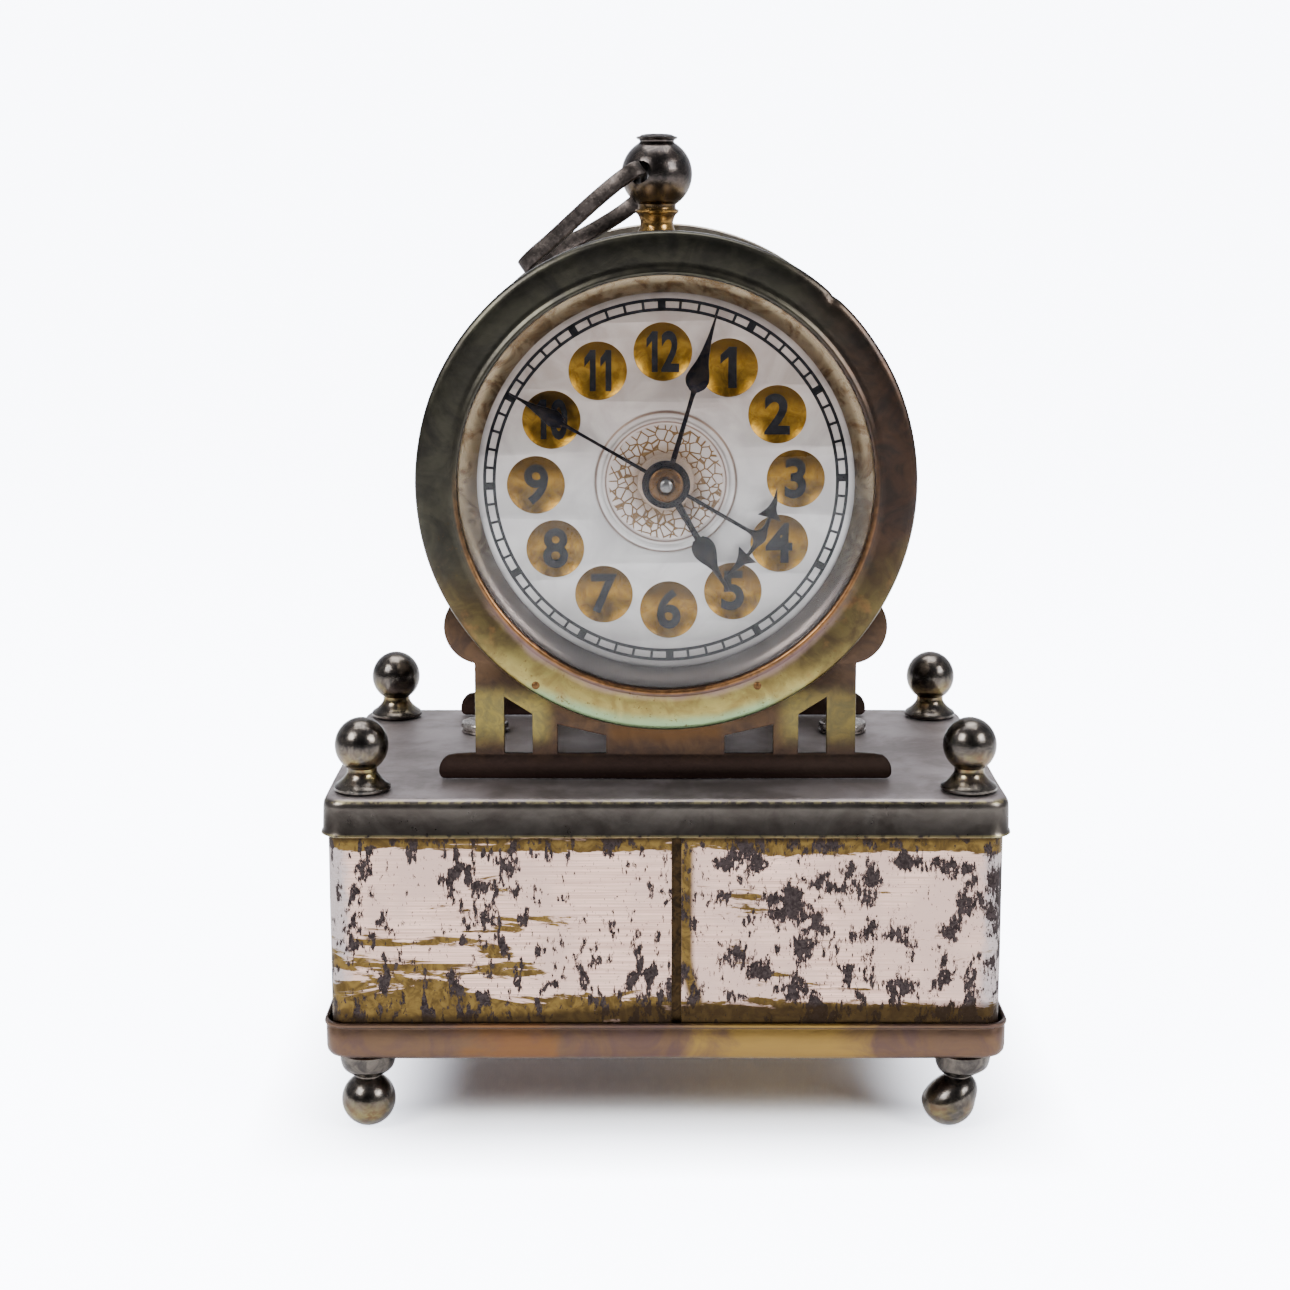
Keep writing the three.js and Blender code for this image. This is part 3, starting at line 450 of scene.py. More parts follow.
def lid_metal():
    made = Surface("lid_metal", roughness=0.3)
    tone = made.clouded(rgb(70, 63, 60), rgb(88, 82, 78), 0.05)
    streak = made.noise(0.5, 4, 0.6, stretch=(0.12, 1.0, 1.6))
    tone = made.mix(made.times(streak, 0.5), tone, rgb(78, 76, 68))
    # Painted reflection: the top face is painted lighter than the sides, a painted reflection of the bright
    # surroundings.
    top = made.step(made.z, LID_TOP - 0.8, LID_TOP - 0.2)
    tone = made.mix(top, tone, made.clouded(rgb(116, 108, 107), rgb(148, 140, 141), 0.06, warp=0.3))
    # Bare brass where the bottom edge is rubbed; the light patches along the rounded top edge are partly wear and
    # partly a painted highlight.
    rubbed = made.noise(0.6, 5)
    low_edge = made.times(made.step(made.z, LID_TOP - 7.7, LID_TOP - 8.2), made.step(rubbed, 0.3, 0.5))
    high_edge_wear_and_highlight = made.times(made.within(made.z, LID_TOP - 1.0, LID_TOP - 0.35, 0.2), made.step(rubbed, 0.42, 0.6))
    bare_and_highlight = made.math("MAXIMUM", low_edge, made.times(high_edge_wear_and_highlight, 0.6))
    made.colour(made.mix(bare_and_highlight, tone, rgb(150, 140, 104)))
    polish = made.blend(made.noise(0.35, 7, 0.65), 0.2, 0.42)
    made.roughness(made.math("ADD", polish, made.times(top, 0.2)))
    made.bump(made.noise(0.09, 3), 0.35, 0.6)
    return made.material


def tray_metal():
    made = Surface("tray_metal", roughness=0.34)
    patch = made.math("SUBTRACT", made.noise(0.06, 5, 0.6, stretch=(1, 1, 1.6), warp=1.0), 0.5)
    along = made.math("ADD", made.x, made.times(patch, 40.0))
    tone = made.clouded(rgb(82, 65, 61), rgb(94, 74, 58), 0.08)
    tone = made.mix(made.within(along, 8, 44, 6.0), tone, rgb(132, 106, 56))
    tone = made.mix(made.times(made.within(along, -42, -26, 5.0), 0.6), tone, rgb(118, 80, 44))
    streak = made.noise(0.5, 5, 0.65, stretch=(0.1, 0.1, 1.5))
    tone = made.mix(made.times(streak, 0.35), tone, rgb(76, 58, 46))
    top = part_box("base_tray")[1].z / MM
    made.colour(made.mix(made.within(made.z, top - 1.3, top - 0.8, 0.25), tone, rgb(66, 56, 50)))
    made.roughness(made.blend(made.noise(0.6, 6, 0.65), 0.24, 0.46))
    made.bump(made.noise(0.1, 3), 0.3, 0.5)
    return made.material


def bracket_brass():
    """Brown patina, greener and brighter on the legs, and nearly black along the bar."""
    made = Surface("bracket_brass", roughness=0.34)
    brown = made.clouded(rgb(56, 45, 39), rgb(74, 57, 43), 0.12)
    green = made.clouded(rgb(122, 108, 60), rgb(98, 90, 58), 0.3)
    height = made.math("SUBTRACT", made.z, LID_TOP)
    wave = made.math("ADD", height, made.times(made.math("SUBTRACT", made.noise(0.15, 5), 0.5), 5.0))
    side = made.math("ABSOLUTE", made.x)
    legs = made.times(made.step(side, 24, 29), made.within(wave, 9.5, 20, 3.0))
    tone = made.mix(legs, brown, green)
    amber = made.times(made.step(side, 14, 11), made.within(wave, 9.0, 13.0, 2.0))
    tone = made.mix(made.times(amber, 0.8), tone, rgb(76, 54, 34))
    tone = made.mix(made.step(wave, 10.0, 3.0), tone, rgb(50, 39, 35))
    tone = made.mix(made.times(made.step(made.x, 10, 42), 0.4), tone, rgb(56, 46, 40))
    specks = made.step(made.noise(1.5, 5, 0.7), 0.64, 0.68)
    made.colour(made.mix(specks, tone, rgb(60, 50, 40)))
    made.roughness(made.blend(made.noise(0.7, 6), 0.24, 0.44))
    made.bump(made.noise(0.8, 6), 0.05)
    return made.material


def bezel_brass():
    """Dark olive above, brown at the right, and yellow-green brass below with faint heat colours."""
    made = Surface("bezel_brass", roughness=0.3)
    olive = made.clouded(rgb(46, 44, 40), rgb(58, 56, 48), 0.09)
    right = made.step(made.x, 22, 50)
    tone = made.mix(right, olive, made.clouded(rgb(62, 48, 40), rgb(48, 41, 38), 0.1))
    drift = made.times(made.math("SUBTRACT", made.noise(0.06, 5, 0.6), 0.5), 26.0)
    height = made.math("ADD", made.math("SUBTRACT", made.z, CLOCK_Z), drift)
    slope = made.math("SUBTRACT", height, made.times(made.math("ABSOLUTE", made.x), 0.12))
    yellow = made.clouded(rgb(142, 130, 76), rgb(120, 104, 60), 0.14)
    tone = made.mix(made.step(slope, -16, -32), tone, made.clouded(rgb(76, 66, 42), rgb(60, 50, 36), 0.16))
    tone = made.mix(made.step(slope, -36, -52), tone, yellow)
    reach = made.radius()
    wander = made.math("ADD", reach, made.times(made.math("SUBTRACT", made.noise(0.12, 4), 0.5), 4.0))
    purple = made.times(made.step(wander, 49.0, 46.6), made.step(height, -18, -34))
    tone = made.mix(made.times(purple, 0.85), tone, rgb(104, 84, 84))
    turquoise = made.times(made.step(wander, 51.0, 54.0), made.step(height, -44, -50))
    tone = made.mix(made.times(turquoise, 0.8), tone, rgb(116, 146, 112))
    pink = made.step(made.noise(0.1, 5, 0.6, shift=(7, 0, 3)), 0.56, 0.68)
    pink = made.times(pink, made.step(height, -10, -30))
    tone = made.mix(made.times(pink, 0.4), tone, rgb(120, 84, 52))
    specks = made.times(made.step(made.noise(0.9, 6, 0.72), 0.6, 0.66), made.step(height, 0, -30))
    tone = made.mix(made.times(specks, 0.8), tone, rgb(78, 62, 38))
    copper = made.clouded(rgb(86, 62, 42), rgb(118, 84, 54), 0.3)
    inner = made.mix(made.step(made.noise(0.14, 6, 0.65, warp=1.0), 0.46, 0.62), rgb(134, 118, 94), rgb(98, 80, 58))
    # Painted shade: the inner wall is painted grey towards the bottom, as in the shade of the bezel.
    inner = made.mix(made.step(height, -6, -24), inner, rgb(80, 72, 68))
    tone = made.mix(made.times(made.step(reach, 46.9, 46.4), made.step(height, 10, -30)), tone, copper)
    made.colour(made.mix(made.step(reach, 45.7, 45.4), tone, inner))
    made.roughness(made.blend(made.noise(0.5, 6, 0.6), 0.22, 0.42))
    made.bump(made.noise(0.3, 6, 0.6), 0.08)
    return made.material


def case_brass():
    made = Surface("case_brass", roughness=0.34)
    tone = made.clouded(rgb(124, 118, 110), rgb(146, 140, 132), 0.05, warp=0.2)
    tone = made.mix(made.times(made.step(made.noise(0.9, 6, 0.7), 0.56, 0.7), 0.45), tone, rgb(96, 88, 78))
    streak = made.noise(0.4, 5, 0.65, stretch=(1, 0.15, 1))
    tone = made.mix(made.step(streak, 0.5, 0.8), tone, rgb(128, 110, 74))
    made.colour(tone)
    made.roughness(made.blend(made.noise(0.5, 6), 0.24, 0.46))
    made.bump(made.noise(0.25, 6), 0.1)
    return made.material


def plain_metal(name, dark, light, roughness=0.3, scale=0.4):
    made = Surface(name, roughness=roughness)
    made.colour(made.clouded(dark, light, scale))
    made.roughness(made.blend(made.noise(1.2, 6), roughness - 0.08, roughness + 0.12))
    made.bump(made.noise(1.6, 5), 0.03)
    return made.material


def dial_silver():
    """Matt silvering, with a ring of brown crackle in the middle."""
    made = Surface("dial_silver", metallic=0.55, roughness=0.46)
    # The upper half keeps the silvering's warm tone; the lower half is painted lighter and greyer, a painted reflection
    # of the white table in the glass.
    upper = made.clouded(rgb(156, 139, 129), rgb(174, 158, 147), 0.08)
    lower_painted_reflection = made.clouded(rgb(192, 188, 186), rgb(208, 205, 202), 0.08)
    base = made.mix(made.step(made.math("SUBTRACT", made.z, CLOCK_Z), 26, -14), upper, lower_painted_reflection)
    grain = made.noise(3.0, 4, 0.6)
    base = made.mix(made.times(grain, 0.25), base, rgb(162, 158, 154))
    reach = made.radius()
    # Painted shade: the dial darkens in a ring inside the bezel and over its lower part, as in the shade of the bezel.
    low = made.step(made.math("SUBTRACT", made.z, CLOCK_Z), -12, -42)
    edge = made.math("MAXIMUM", made.times(made.step(reach, 40.2, 42.5), 0.7), made.times(low, made.step(reach, 30, 41)))
    base = made.mix(made.times(edge, 0.85), base, rgb(92, 86, 82))
    crack = made.cells(0.54, stretch=(1, 0.02, 1))
    fine = made.noise(0.7, 4)
    ring = made.times(made.within(reach, 6.4, 12.6, 0.25), made.step(fine, 0.25, 0.4))
    ground = made.within(reach, 5.0, 13.6, 0.5)
    base = made.mix(made.times(ground, 0.5), base, rgb(186, 166, 156))
    stain = made.times(made.within(reach, 4.0, 8.2, 1.6), 0.6)
    base = made.mix(stain, base, rgb(150, 118, 84))
    rings = made.math("MAXIMUM", made.within(reach, 15.25, 15.75, 0.14), made.within(reach, 13.1, 13.5, 0.14))
    base = made.mix(made.times(rings, 0.85), base, rgb(98, 72, 54))
    lines = made.times(made.step(crack, 0.1, 0.05), ring)
    made.colour(made.mix(lines, base, rgb(108, 80, 46)))
    made.roughness(made.blend(grain, 0.4, 0.54))
    made.bump(made.math("SUBTRACT", made.times(grain, 0.15), lines), 0.12)
    return made.material


def gilt():
    made = Surface("gilt", roughness=0.3)
    tone = made.clouded(rgb(118, 84, 22), rgb(156, 118, 42), 0.3)
    tone = made.mix(made.step(made.noise(2.2, 5, 0.65), 0.58, 0.7), tone, rgb(126, 88, 28))
    # Painted shade: the upper walls of the hollows face downwards and are painted dark, standing in for the shade they
    # fall in under light from above.
    facing_for_painted_shade = made.node("ShaderNodeSeparateXYZ")
    made.link(made.node("ShaderNodeNewGeometry").outputs["Normal"], facing_for_painted_shade.inputs[0])
    made.colour(made.mix(made.step(facing_for_painted_shade.outputs[2], 0.12, -0.3), tone, rgb(66, 46, 16)))
    made.roughness(made.blend(made.noise(1.0, 5), 0.26, 0.4))
    made.bump(made.noise(1.8, 5), 0.03)
    return made.material


def black_print():
    made = Surface("black_print", metallic=0.0, roughness=0.5, Specular_IOR_Level=0.12)
    made.colour(made.mix(made.noise(2.5, 5), rgb(12, 11, 13), rgb(26, 24, 27)))
    made.roughness(made.blend(made.noise(2.0, 4), 0.42, 0.6))
    return made.material


def glass():
    """Clear glass that light passes straight through: see-through with a gloss that grows at the edge."""
    made = Surface("clear_glass", metallic=0.0, roughness=0.03)
    tree = made.tree
    tree.nodes.remove(made.shader)
    clear = made.node("ShaderNodeBsdfTransparent")
    clear.inputs["Color"].default_value = (0.97, 0.975, 0.98, 1)
    gloss = made.node("ShaderNodeBsdfGlossy")
    gloss.inputs["Color"].default_value = (1, 1, 1, 1)
    gloss.inputs["Roughness"].default_value = 0.03
    fresnel = made.node("ShaderNodeFresnel")
    fresnel.inputs["IOR"].default_value = 1.5
    smear = made.times(made.step(made.noise(0.09, 5, 0.6, warp=1.2), 0.45, 0.75), 0.015)
    both = made.node("ShaderNodeMixShader")
    made.link(made.times(made.math("ADD", fresnel.outputs[0], smear), 0.34), both.inputs[0])
    made.link(clear.outputs[0], both.inputs[1])
    made.link(gloss.outputs[0], both.inputs[2])
    made.link(both.outputs[0], tree.nodes["Material Output"].inputs["Surface"])
    return made.material


GUNMETAL = gunmetal()
BRACKET = bracket_brass()
CASE = case_brass()
BRASS = plain_metal("brass", rgb(150, 124, 68), rgb(184, 158, 96), 0.3)
STEEL = plain_metal("steel", rgb(150, 148, 146), rgb(190, 188, 186), 0.26)
BLUED = plain_metal("blued_steel", rgb(22, 22, 28), rgb(42, 36, 34), 0.34)
# The seam strap is painted near-black: painted shade in the groove between the band's ends.
SEAM_IN_SHADE = plain_metal("seam_brass_painted_shade", rgb(34, 27, 20), rgb(58, 45, 29), 0.45)
COLLET = plain_metal("collet_brass", rgb(70, 49, 30), rgb(96, 70, 44), 0.4)
PIN = plain_metal("pin_steel", rgb(92, 90, 88), rgb(126, 124, 122), 0.3)
CAP_METAL = plain_metal("cap_metal", rgb(118, 112, 106), rgb(158, 152, 146), 0.26)
PRINT = black_print()
SILVER_DIAL = dial_silver()

# ------------------------------------------------------------------------ base

CORNERS = ("front_left", "front_right", "rear_left", "rear_right")


def corner_of(kind, corner):
    return middle(f"{kind}_{corner}", 0), middle(f"{kind}_{corner}", 1) - BASE_Y


def foot(corner):
    ball = arc(0, 6.1, 6.1, -70, 62, 18)
    cup = smooth([(3.0, 11.7), (3.1, 12.2), (4.5, 12.9), (5.7, 14.0), (6.2, 15.6), (6.3, 16.8)], 5)
    shape = lathe([(0, 0), *ball, *cup, (6.25, 17.5), (6.0, 17.8), (0, 17.8)], segments=56, upright=True)
    x, y = corner_of("finial", corner)
    if corner == "front_right":
        # This foot has been knocked inwards below its cup.
        bent = []
        for px, py, pz in shape[0]:
            drop = min(max((14 - pz) / 8, 0), 1)
            tip = min(max((17.6 - pz) / 5, 0), 1)
            bent.append((px - 3.0 * drop, py, pz + 0.045 * px * tip * (1 - drop)))
        shape = bent, shape[1]
    mesh_piece(f"foot_{corner}_metal", moved(shape, x, y), GUNMETAL, replaces=[f"foot_{corner}"])


def finial(corner):
    flange = [(0, 0), (6.1, 0), (6.3, 0.25), (6.3, 0.75), (6.0, 1.15), (5.2, 1.7), (4.3, 2.5), (3.6, 3.4), (3.3, 4.1)]
    ball = [(x * 0.985, 10.1 + (z - 10.1) * 1.02) for x, z in arc(0, 10.1, 6.05, -56, 84, 22)]
    shape = lathe([*flange, *ball, (0.35, 16.02), (0, 15.9)], segments=56, upright=True)
    x, y = corner_of("finial", corner)
    mesh_piece(f"finial_{corner}_metal", moved(shape, x, y, LID_TOP + 0.3), GUNMETAL,
               replaces=[f"finial_{corner}"])


for corner in CORNERS:
    foot(corner)
    finial(corner)


def sheet_box(node, levels, corner, metal, tremor):
    low, high = (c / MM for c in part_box(node))
    shape = uneven(lofted_box(high.x - low.x, high.y - low.y, corner, levels), tremor, 22.0, seed=len(node))
    return mesh_piece(f"{node}_sheet", shape, metal, replaces=[node], crease=40)


tray_low, tray_high = (c.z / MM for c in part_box("base_tray"))
TRAY_LEVELS = [
    (1.0, tray_low + 1.0), (1.0, tray_high - 0.5), (0.8, tray_high - 0.15), (0.45, tray_high), (0.1, tray_high - 0.15),
    (0.0, tray_high - 0.45), (0.05, tray_high - 0.9), (0.45, tray_high - 1.15), (0.45, tray_high - 1.5),
    (0.3, tray_high - 1.8), (0.3, tray_low + 2.4), (0.45, tray_low + 1.4), (0.9, tray_low + 0.6), (1.7, tray_low + 0.12),
    (2.6, tray_low),
]
sheet_box("base_tray", TRAY_LEVELS, 5, tray_metal(), 0.16)

lid_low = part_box("lid")[0].z / MM
LID_LEVELS = [
    (1.0, LID_TOP - 1.0), (1.0, lid_low + 0.3), (0.8, lid_low + 0.05), (0.25, lid_low), (0.0, lid_low + 0.25),
    (0.1, lid_low + 0.7), (0.35, lid_low + 1.2), (0.5, LID_TOP - 2.2), (0.6, LID_TOP - 1.4), (0.9, LID_TOP - 0.75),
    (1.4, LID_TOP - 0.25), (2.1, LID_TOP - 0.03), (2.8, LID_TOP),
]
sheet_box("lid", LID_LEVELS, 5, lid_metal(), 0.16)


def body_band():
    """One strip of plated sheet bent round the base; its ends meet at the front, a little right of the middle."""
    low, high = (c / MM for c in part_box("body_band"))
    width, depth = high.x - low.x, high.y - low.y
    loop = rounded_rectangle(width, depth, 4, side_steps=60)
    front = -depth / 2
    ends = (1.3, 3.5)
    # Start at the right-hand end of the seam and go round to the left-hand end.
    path = [p for p in loop if not (p[1] < front + 0.01 and ends[0] < p[0] < ends[1])]
    start = min((k for k, p in enumerate(path) if p[1] < front + 0.01 and p[0] >= ends[1]), key=lambda k: path[k][0])
    path = [(ends[1], front)] + path[start:] + path[:start] + [(ends[0], front)]
    points, faces = [], []
    rows = [low.z + (high.z - low.z) * i / 12 for i in range(13)]
    for x, y in path:
        shrink_x, shrink_y = 1 - 2 / width, 1 - 2 / depth
        points.extend((x, y, z) for z in rows)
        points.extend((x * shrink_x if abs(y) < depth / 2 - 0.01 or abs(x) > 20 else x, y * shrink_y, z)
                      for z in reversed(rows))
    ring = 2 * len(rows)
    for i in range(len(path) - 1):
        for k in range(ring):
            n = (k + 1) % ring
            faces.append([i * ring + k, i * ring + n, (i + 1) * ring + n, (i + 1) * ring + k])
    faces.append(list(range(ring)))
    faces.append([(len(path) - 1) * ring + k for k in range(ring)])
    shape = uneven((points, faces), 0.12, 18.0)
    mesh_piece("body_band_sheet", shape, silver_plate(), replaces=["body_band"], crease=40)


body_band()
for side in ("left", "right"):
    node = f"lid_cap_{side}"
    cap = [(0, 0), (5.7, 0), (5.8, 0.1), (5.8, 0.55), (5.5, 0.7), (5.5, 0.95), (5.8, 1.1), (5.8, 1.75), (5.6, 2.15),
           (5.2, 2.35), (4.6, 2.25), (3.2, 2.3), (0, 2.5)]
    place = (middle(node, 0), middle(node, 1) - BASE_Y)
    mesh_piece(f"{node}_metal", lathe(cap, place, 64, upright=True), CAP_METAL, replaces=[node])
    piece = bpy.data.objects[f"{node}_metal"]
    piece.data.transform(Matrix.Translation((0, 0, (LID_TOP + 0.3) * MM)))

# -------------------------------------------------------------------- brackets


def bracket(node):
    """A fretted plate: bar, legs, posts, round ears and the cradle under the drum."""
    low, high = (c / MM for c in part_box(node))
    bottom, top = low.z, low.z + 5.9
    cradle, ear_x, ear_z, ear_radius, leg = 53.3, 41.2, 113.6, 8.5, 42.9
    reach = math.hypot(ear_x, ear_z - CLOCK_Z)
    lean = math.degrees(math.atan2(ear_z - CLOCK_Z, ear_x))
    opening = math.degrees(math.acos((cradle ** 2 + reach ** 2 - ear_radius ** 2) / (2 * cradle * reach)))
    turn = math.degrees(math.acos((ear_radius ** 2 + reach ** 2 - cradle ** 2) / (2 * ear_radius * reach)))
    ear = arc(ear_x, ear_z, ear_radius, -math.degrees(math.acos((leg - ear_x) / ear_radius)), lean + 178 - turn, 20)
    right = [
        *arc(51.2 - 1.4, bottom + 1.4, 1.4, -90, 0, 4), *arc(51.2 - 4.0, top - 4.0, 4.0, 0, 62, 6),
        (47.1, top - 0.1), (leg, top + 0.1), (leg, 100), *ear,
    ]
    hollow = arc(0, CLOCK_Z, cradle, lean + opening, -180 - lean - opening, 60)
    left = [(-x, z) for x, z in reversed(right)]
    windows = []
    for side in (-1, 1):
        for near, far, near_top, far_top in ((13.4, 24.3, 88.6, 91.2), (30.0, 36.3, 93.6, 97.6)):
            windows.append([(side * near, top), (side * far, top), (side * far, far_top), (side * near, near_top)])
    shape = plate([[*right, *hollow, *left], *windows], low.y - BASE_Y, high.y - BASE_Y, bevel=0.25)
    mesh_piece(f"{node}_plate", shape, BRACKET, replaces=[node])


bracket("bracket_front")
bracket("bracket_rear")

# ------------------------------------------------------------- case, glass, dial

drum_front, drum_back = (c.y / MM - BASE_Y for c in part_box("drum_case"))
mesh_piece("drum_case_shell", lathe([
    (52.2, drum_front), (53.0, drum_front), (53.0, -24.4), (52.85, -24.2), (53.0, -24.0), (53.0, 33.6), (52.85, 33.8),
    (53.0, 34.0), (53.0, drum_back), (52.2, drum_back), (52.2, drum_front),
], (0, CLOCK_Z), 144), CASE, replaces=["drum_case"])

DENT = (35.8, 40.6)


def bezel():
    section = [
        (41.7, -29.4), (42.4, -30.6), (43.6, -31.9), (44.9, -33.2), (45.5, -33.3), *smooth([
            (45.55, -34.6), (45.8, -35.2), (46.3, -35.45), (46.9, -35.2), (47.3, -34.95)], 4),
        (48.5, -35.0), (51.0, -35.1), (53.2, -35.0), *smooth([(53.9, -34.85), (54.6, -34.45), (54.95, -33.8)], 4),
        (55.0, -32.5), (55.0, -27.8), (54.7, -27.5), (53.3, -27.5), (53.3, -33.9), (46.5, -33.9), (46.5, -32.3),
        (42.2, -29.2), (41.7, -29.4),
    ]
    points, faces = lathe(section, (0, CLOCK_Z), 288)
    dented = []
    for x, y, z in points:
        near = math.hypot(x - DENT[0], (z - CLOCK_Z) - DENT[1])
        push = 0.6 * math.exp(-(near / 1.0) ** 2) + 0.15 * math.exp(-(near / 5.0) ** 2)
        length = math.hypot(x, z - CLOCK_Z)
        dented.append((x * (1 - push / length), y + push * 0.6, CLOCK_Z + (z - CLOCK_Z) * (1 - push / length)))
    return uneven((dented, faces), 0.10, 16.0)


BEZEL = bezel_brass()
mesh_piece("bezel_ring", bezel(), BEZEL, replaces=["bezel"], crease=40)
for number, (x, z) in enumerate(((-28.8, -44.6), (20.3, -44.7))):
    rivet = lathe([(0, -35.45), (0.5, -35.42), (0.85, -35.2), (0.95, -34.9), (0.95, -34.6), (0, -34.6)],
                  (x, CLOCK_Z + z), 24)
    mesh_piece(f"bezel_rivet_{number + 1}", rivet, COLLET)


def dome(edge, apex, radius, steps):
    rise = edge - apex
    sphere = (radius ** 2 + rise ** 2) / (2 * rise)
    radii = [radius * i / steps for i in range(steps + 1)]
    return [(r, apex + sphere - math.sqrt(sphere ** 2 - r ** 2)) for r in radii]


glass_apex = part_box("glass")[0].y / MM - BASE_Y
outer = dome(-34.6, glass_apex, 45.3, 28)
mesh_piece("glass_dome", lathe([*outer, (45.3, -33.6), *reversed(dome(-33.5, glass_apex + 1.1, 44.2, 28))],
                               (0, CLOCK_Z), 144), glass(), replaces=["glass"], crease=60)

DIAL_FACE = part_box("dial")[0].y / MM - BASE_Y + 0.6
CUP_CIRCLE, CUP_RADIUS, CUP_DEPTH = 28.7, 6.4, 1.5
CUP_CURVE = (CUP_RADIUS ** 2 + CUP_DEPTH ** 2) / (2 * CUP_DEPTH)
DIAL_TURN = math.radians(-1.4)


def on_dial(angle, radius):
    """A point on the dial, its angle clockwise from the top."""
    return radius * math.sin(angle), CLOCK_Z + radius * math.cos(angle)


def cup_floor(distance):
    return DIAL_FACE + CUP_DEPTH - CUP_CURVE + math.sqrt(max(CUP_CURVE ** 2 - distance ** 2, 0))


CUP_PLACES = [on_dial(hour * TAU / 12 + DIAL_TURN, CUP_CIRCLE) for hour in range(1, 13)]
cup_holes = [arc(x, z, CUP_RADIUS, 0, 360 - 360 / 48, 47) for x, z in CUP_PLACES]
outline = arc(0, CLOCK_Z, 51.4, 0, 357, 119)
boss_hole = arc(0, CLOCK_Z, 15.9, 0, 356, 89)
medallion = [
    (4.2, DIAL_FACE + 0.9), (4.2, DIAL_FACE + 0.05), (5.6, DIAL_FACE), (6.2, DIAL_FACE + 0.12), (6.5, DIAL_FACE),
    (12.5, DIAL_FACE), (12.8, DIAL_FACE + 0.12), (13.1, DIAL_FACE), (13.9, DIAL_FACE),
    *smooth([(14.05, DIAL_FACE - 0.1), (14.4, DIAL_FACE - 0.42), (14.9, DIAL_FACE - 0.55), (15.4, DIAL_FACE - 0.42),
             (15.75, DIAL_FACE - 0.1)], 4),
    (15.9, DIAL_FACE), (15.9, DIAL_FACE + 0.9), (4.2, DIAL_FACE + 0.9),
]
mesh_piece("dial_plate", joined(
    plate([outline, boss_hole, *cup_holes], DIAL_FACE, DIAL_FACE + 0.8, bevel=0.12),
    lathe(medallion, (0, CLOCK_Z), 128),
), SILVER_DIAL, replaces=["dial"])

GILT = gilt()
CUP_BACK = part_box("dial")[1].y / MM - BASE_Y
for hour, place in enumerate(CUP_PLACES, 1):
    bowl = [(CUP_RADIUS * i / 12, cup_floor(CUP_RADIUS * i / 12)) for i in range(13)]
    rim = [(6.5, DIAL_FACE + 0.1), (6.5, CUP_BACK - 0.2), (0, CUP_BACK - 0.2)]
    mesh_piece(f"dial_cup_{hour}", lathe([*bowl, *rim], place, 56), GILT)


FIGURE_STROKE = 0.15  # the width of a figure one, in the font's own units


def numeral(hour):
    """An upright figure that lies in its cup."""
    text = bpy.data.curves.new("figure", "FONT")
    text.body = str(hour)
    text.resolution_u = 4
    text.offset = 0.03
    text.space_character = 0.86
    holder = bpy.data.objects.new("figure", text)
    bpy.context.scene.collection.objects.link(holder)
    bpy.context.view_layer.update()
    flat = bpy.data.meshes.new_from_object(holder.evaluated_get(bpy.context.evaluated_depsgraph_get()))
    bpy.data.objects.remove(holder)
    work = bmesh.new()
    work.from_mesh(flat)
    # The figure one has a short flag at its top.
    glyph_top = max(v.co.y for v in work.verts)
    left, right = min(v.co.x for v in work.verts), max(v.co.x for v in work.verts)
    stems = {1: [left], 10: [left], 11: [left, right - FIGURE_STROKE], 12: [left]}.get(hour, [])
    for stem in stems:
        flag = [(stem + 0.02, glyph_top), (stem - 0.15, glyph_top - 0.15), (stem - 0.15, glyph_top - 0.31),
                (stem + 0.02, glyph_top - 0.17)]
        work.faces.new([work.verts.new((x, y, 0)) for x, y in flag])
    bmesh.ops.triangulate(work, faces=work.faces)
    for _ in range(3):
        long_edges = [e for e in work.edges if e.calc_length() > 0.09]
        bmesh.ops.subdivide_edges(work, edges=long_edges, cuts=1)
        bmesh.ops.triangulate(work, faces=work.faces)
    xs, ys = [v.co.x for v in work.verts], [v.co.y for v in work.verts]
    tall = 9.0 / (max(ys) - min(ys))
    wide = tall * (0.66 if hour > 9 else 0.95)
    cx, cy = (min(xs) + max(xs)) / 2, (min(ys) + max(ys)) / 2
    faces = [[v.index for v in f.verts] for f in work.faces]
    work.verts.index_update()
    faces = [[v.index for v in f.verts] for f in work.faces]
    centre_x, centre_z = CUP_PLACES[hour - 1]
    front, back = [], []
    for v in work.verts:
        u, w = (v.co.x - cx) * wide, (v.co.y - cy) * tall
        floor = cup_floor(math.hypot(u, w))
        front.append((centre_x + u, floor - 0.09, centre_z + w))
        back.append((centre_x + u, floor - 0.02, centre_z + w))
    rim = [[v.index for v in e.verts] for e in work.edges if len(e.link_faces) == 1]
    count = len(front)
    work.free()
    walls = [[a, b, b + count, a + count] for a, b in rim]
    shape = front + back, faces + [[i + count for i in reversed(f)] for f in faces] + walls
    mesh_piece(f"dial_figure_{hour}", shape, PRINT, crease=60)


for hour in range(1, 13):
    numeral(hour)


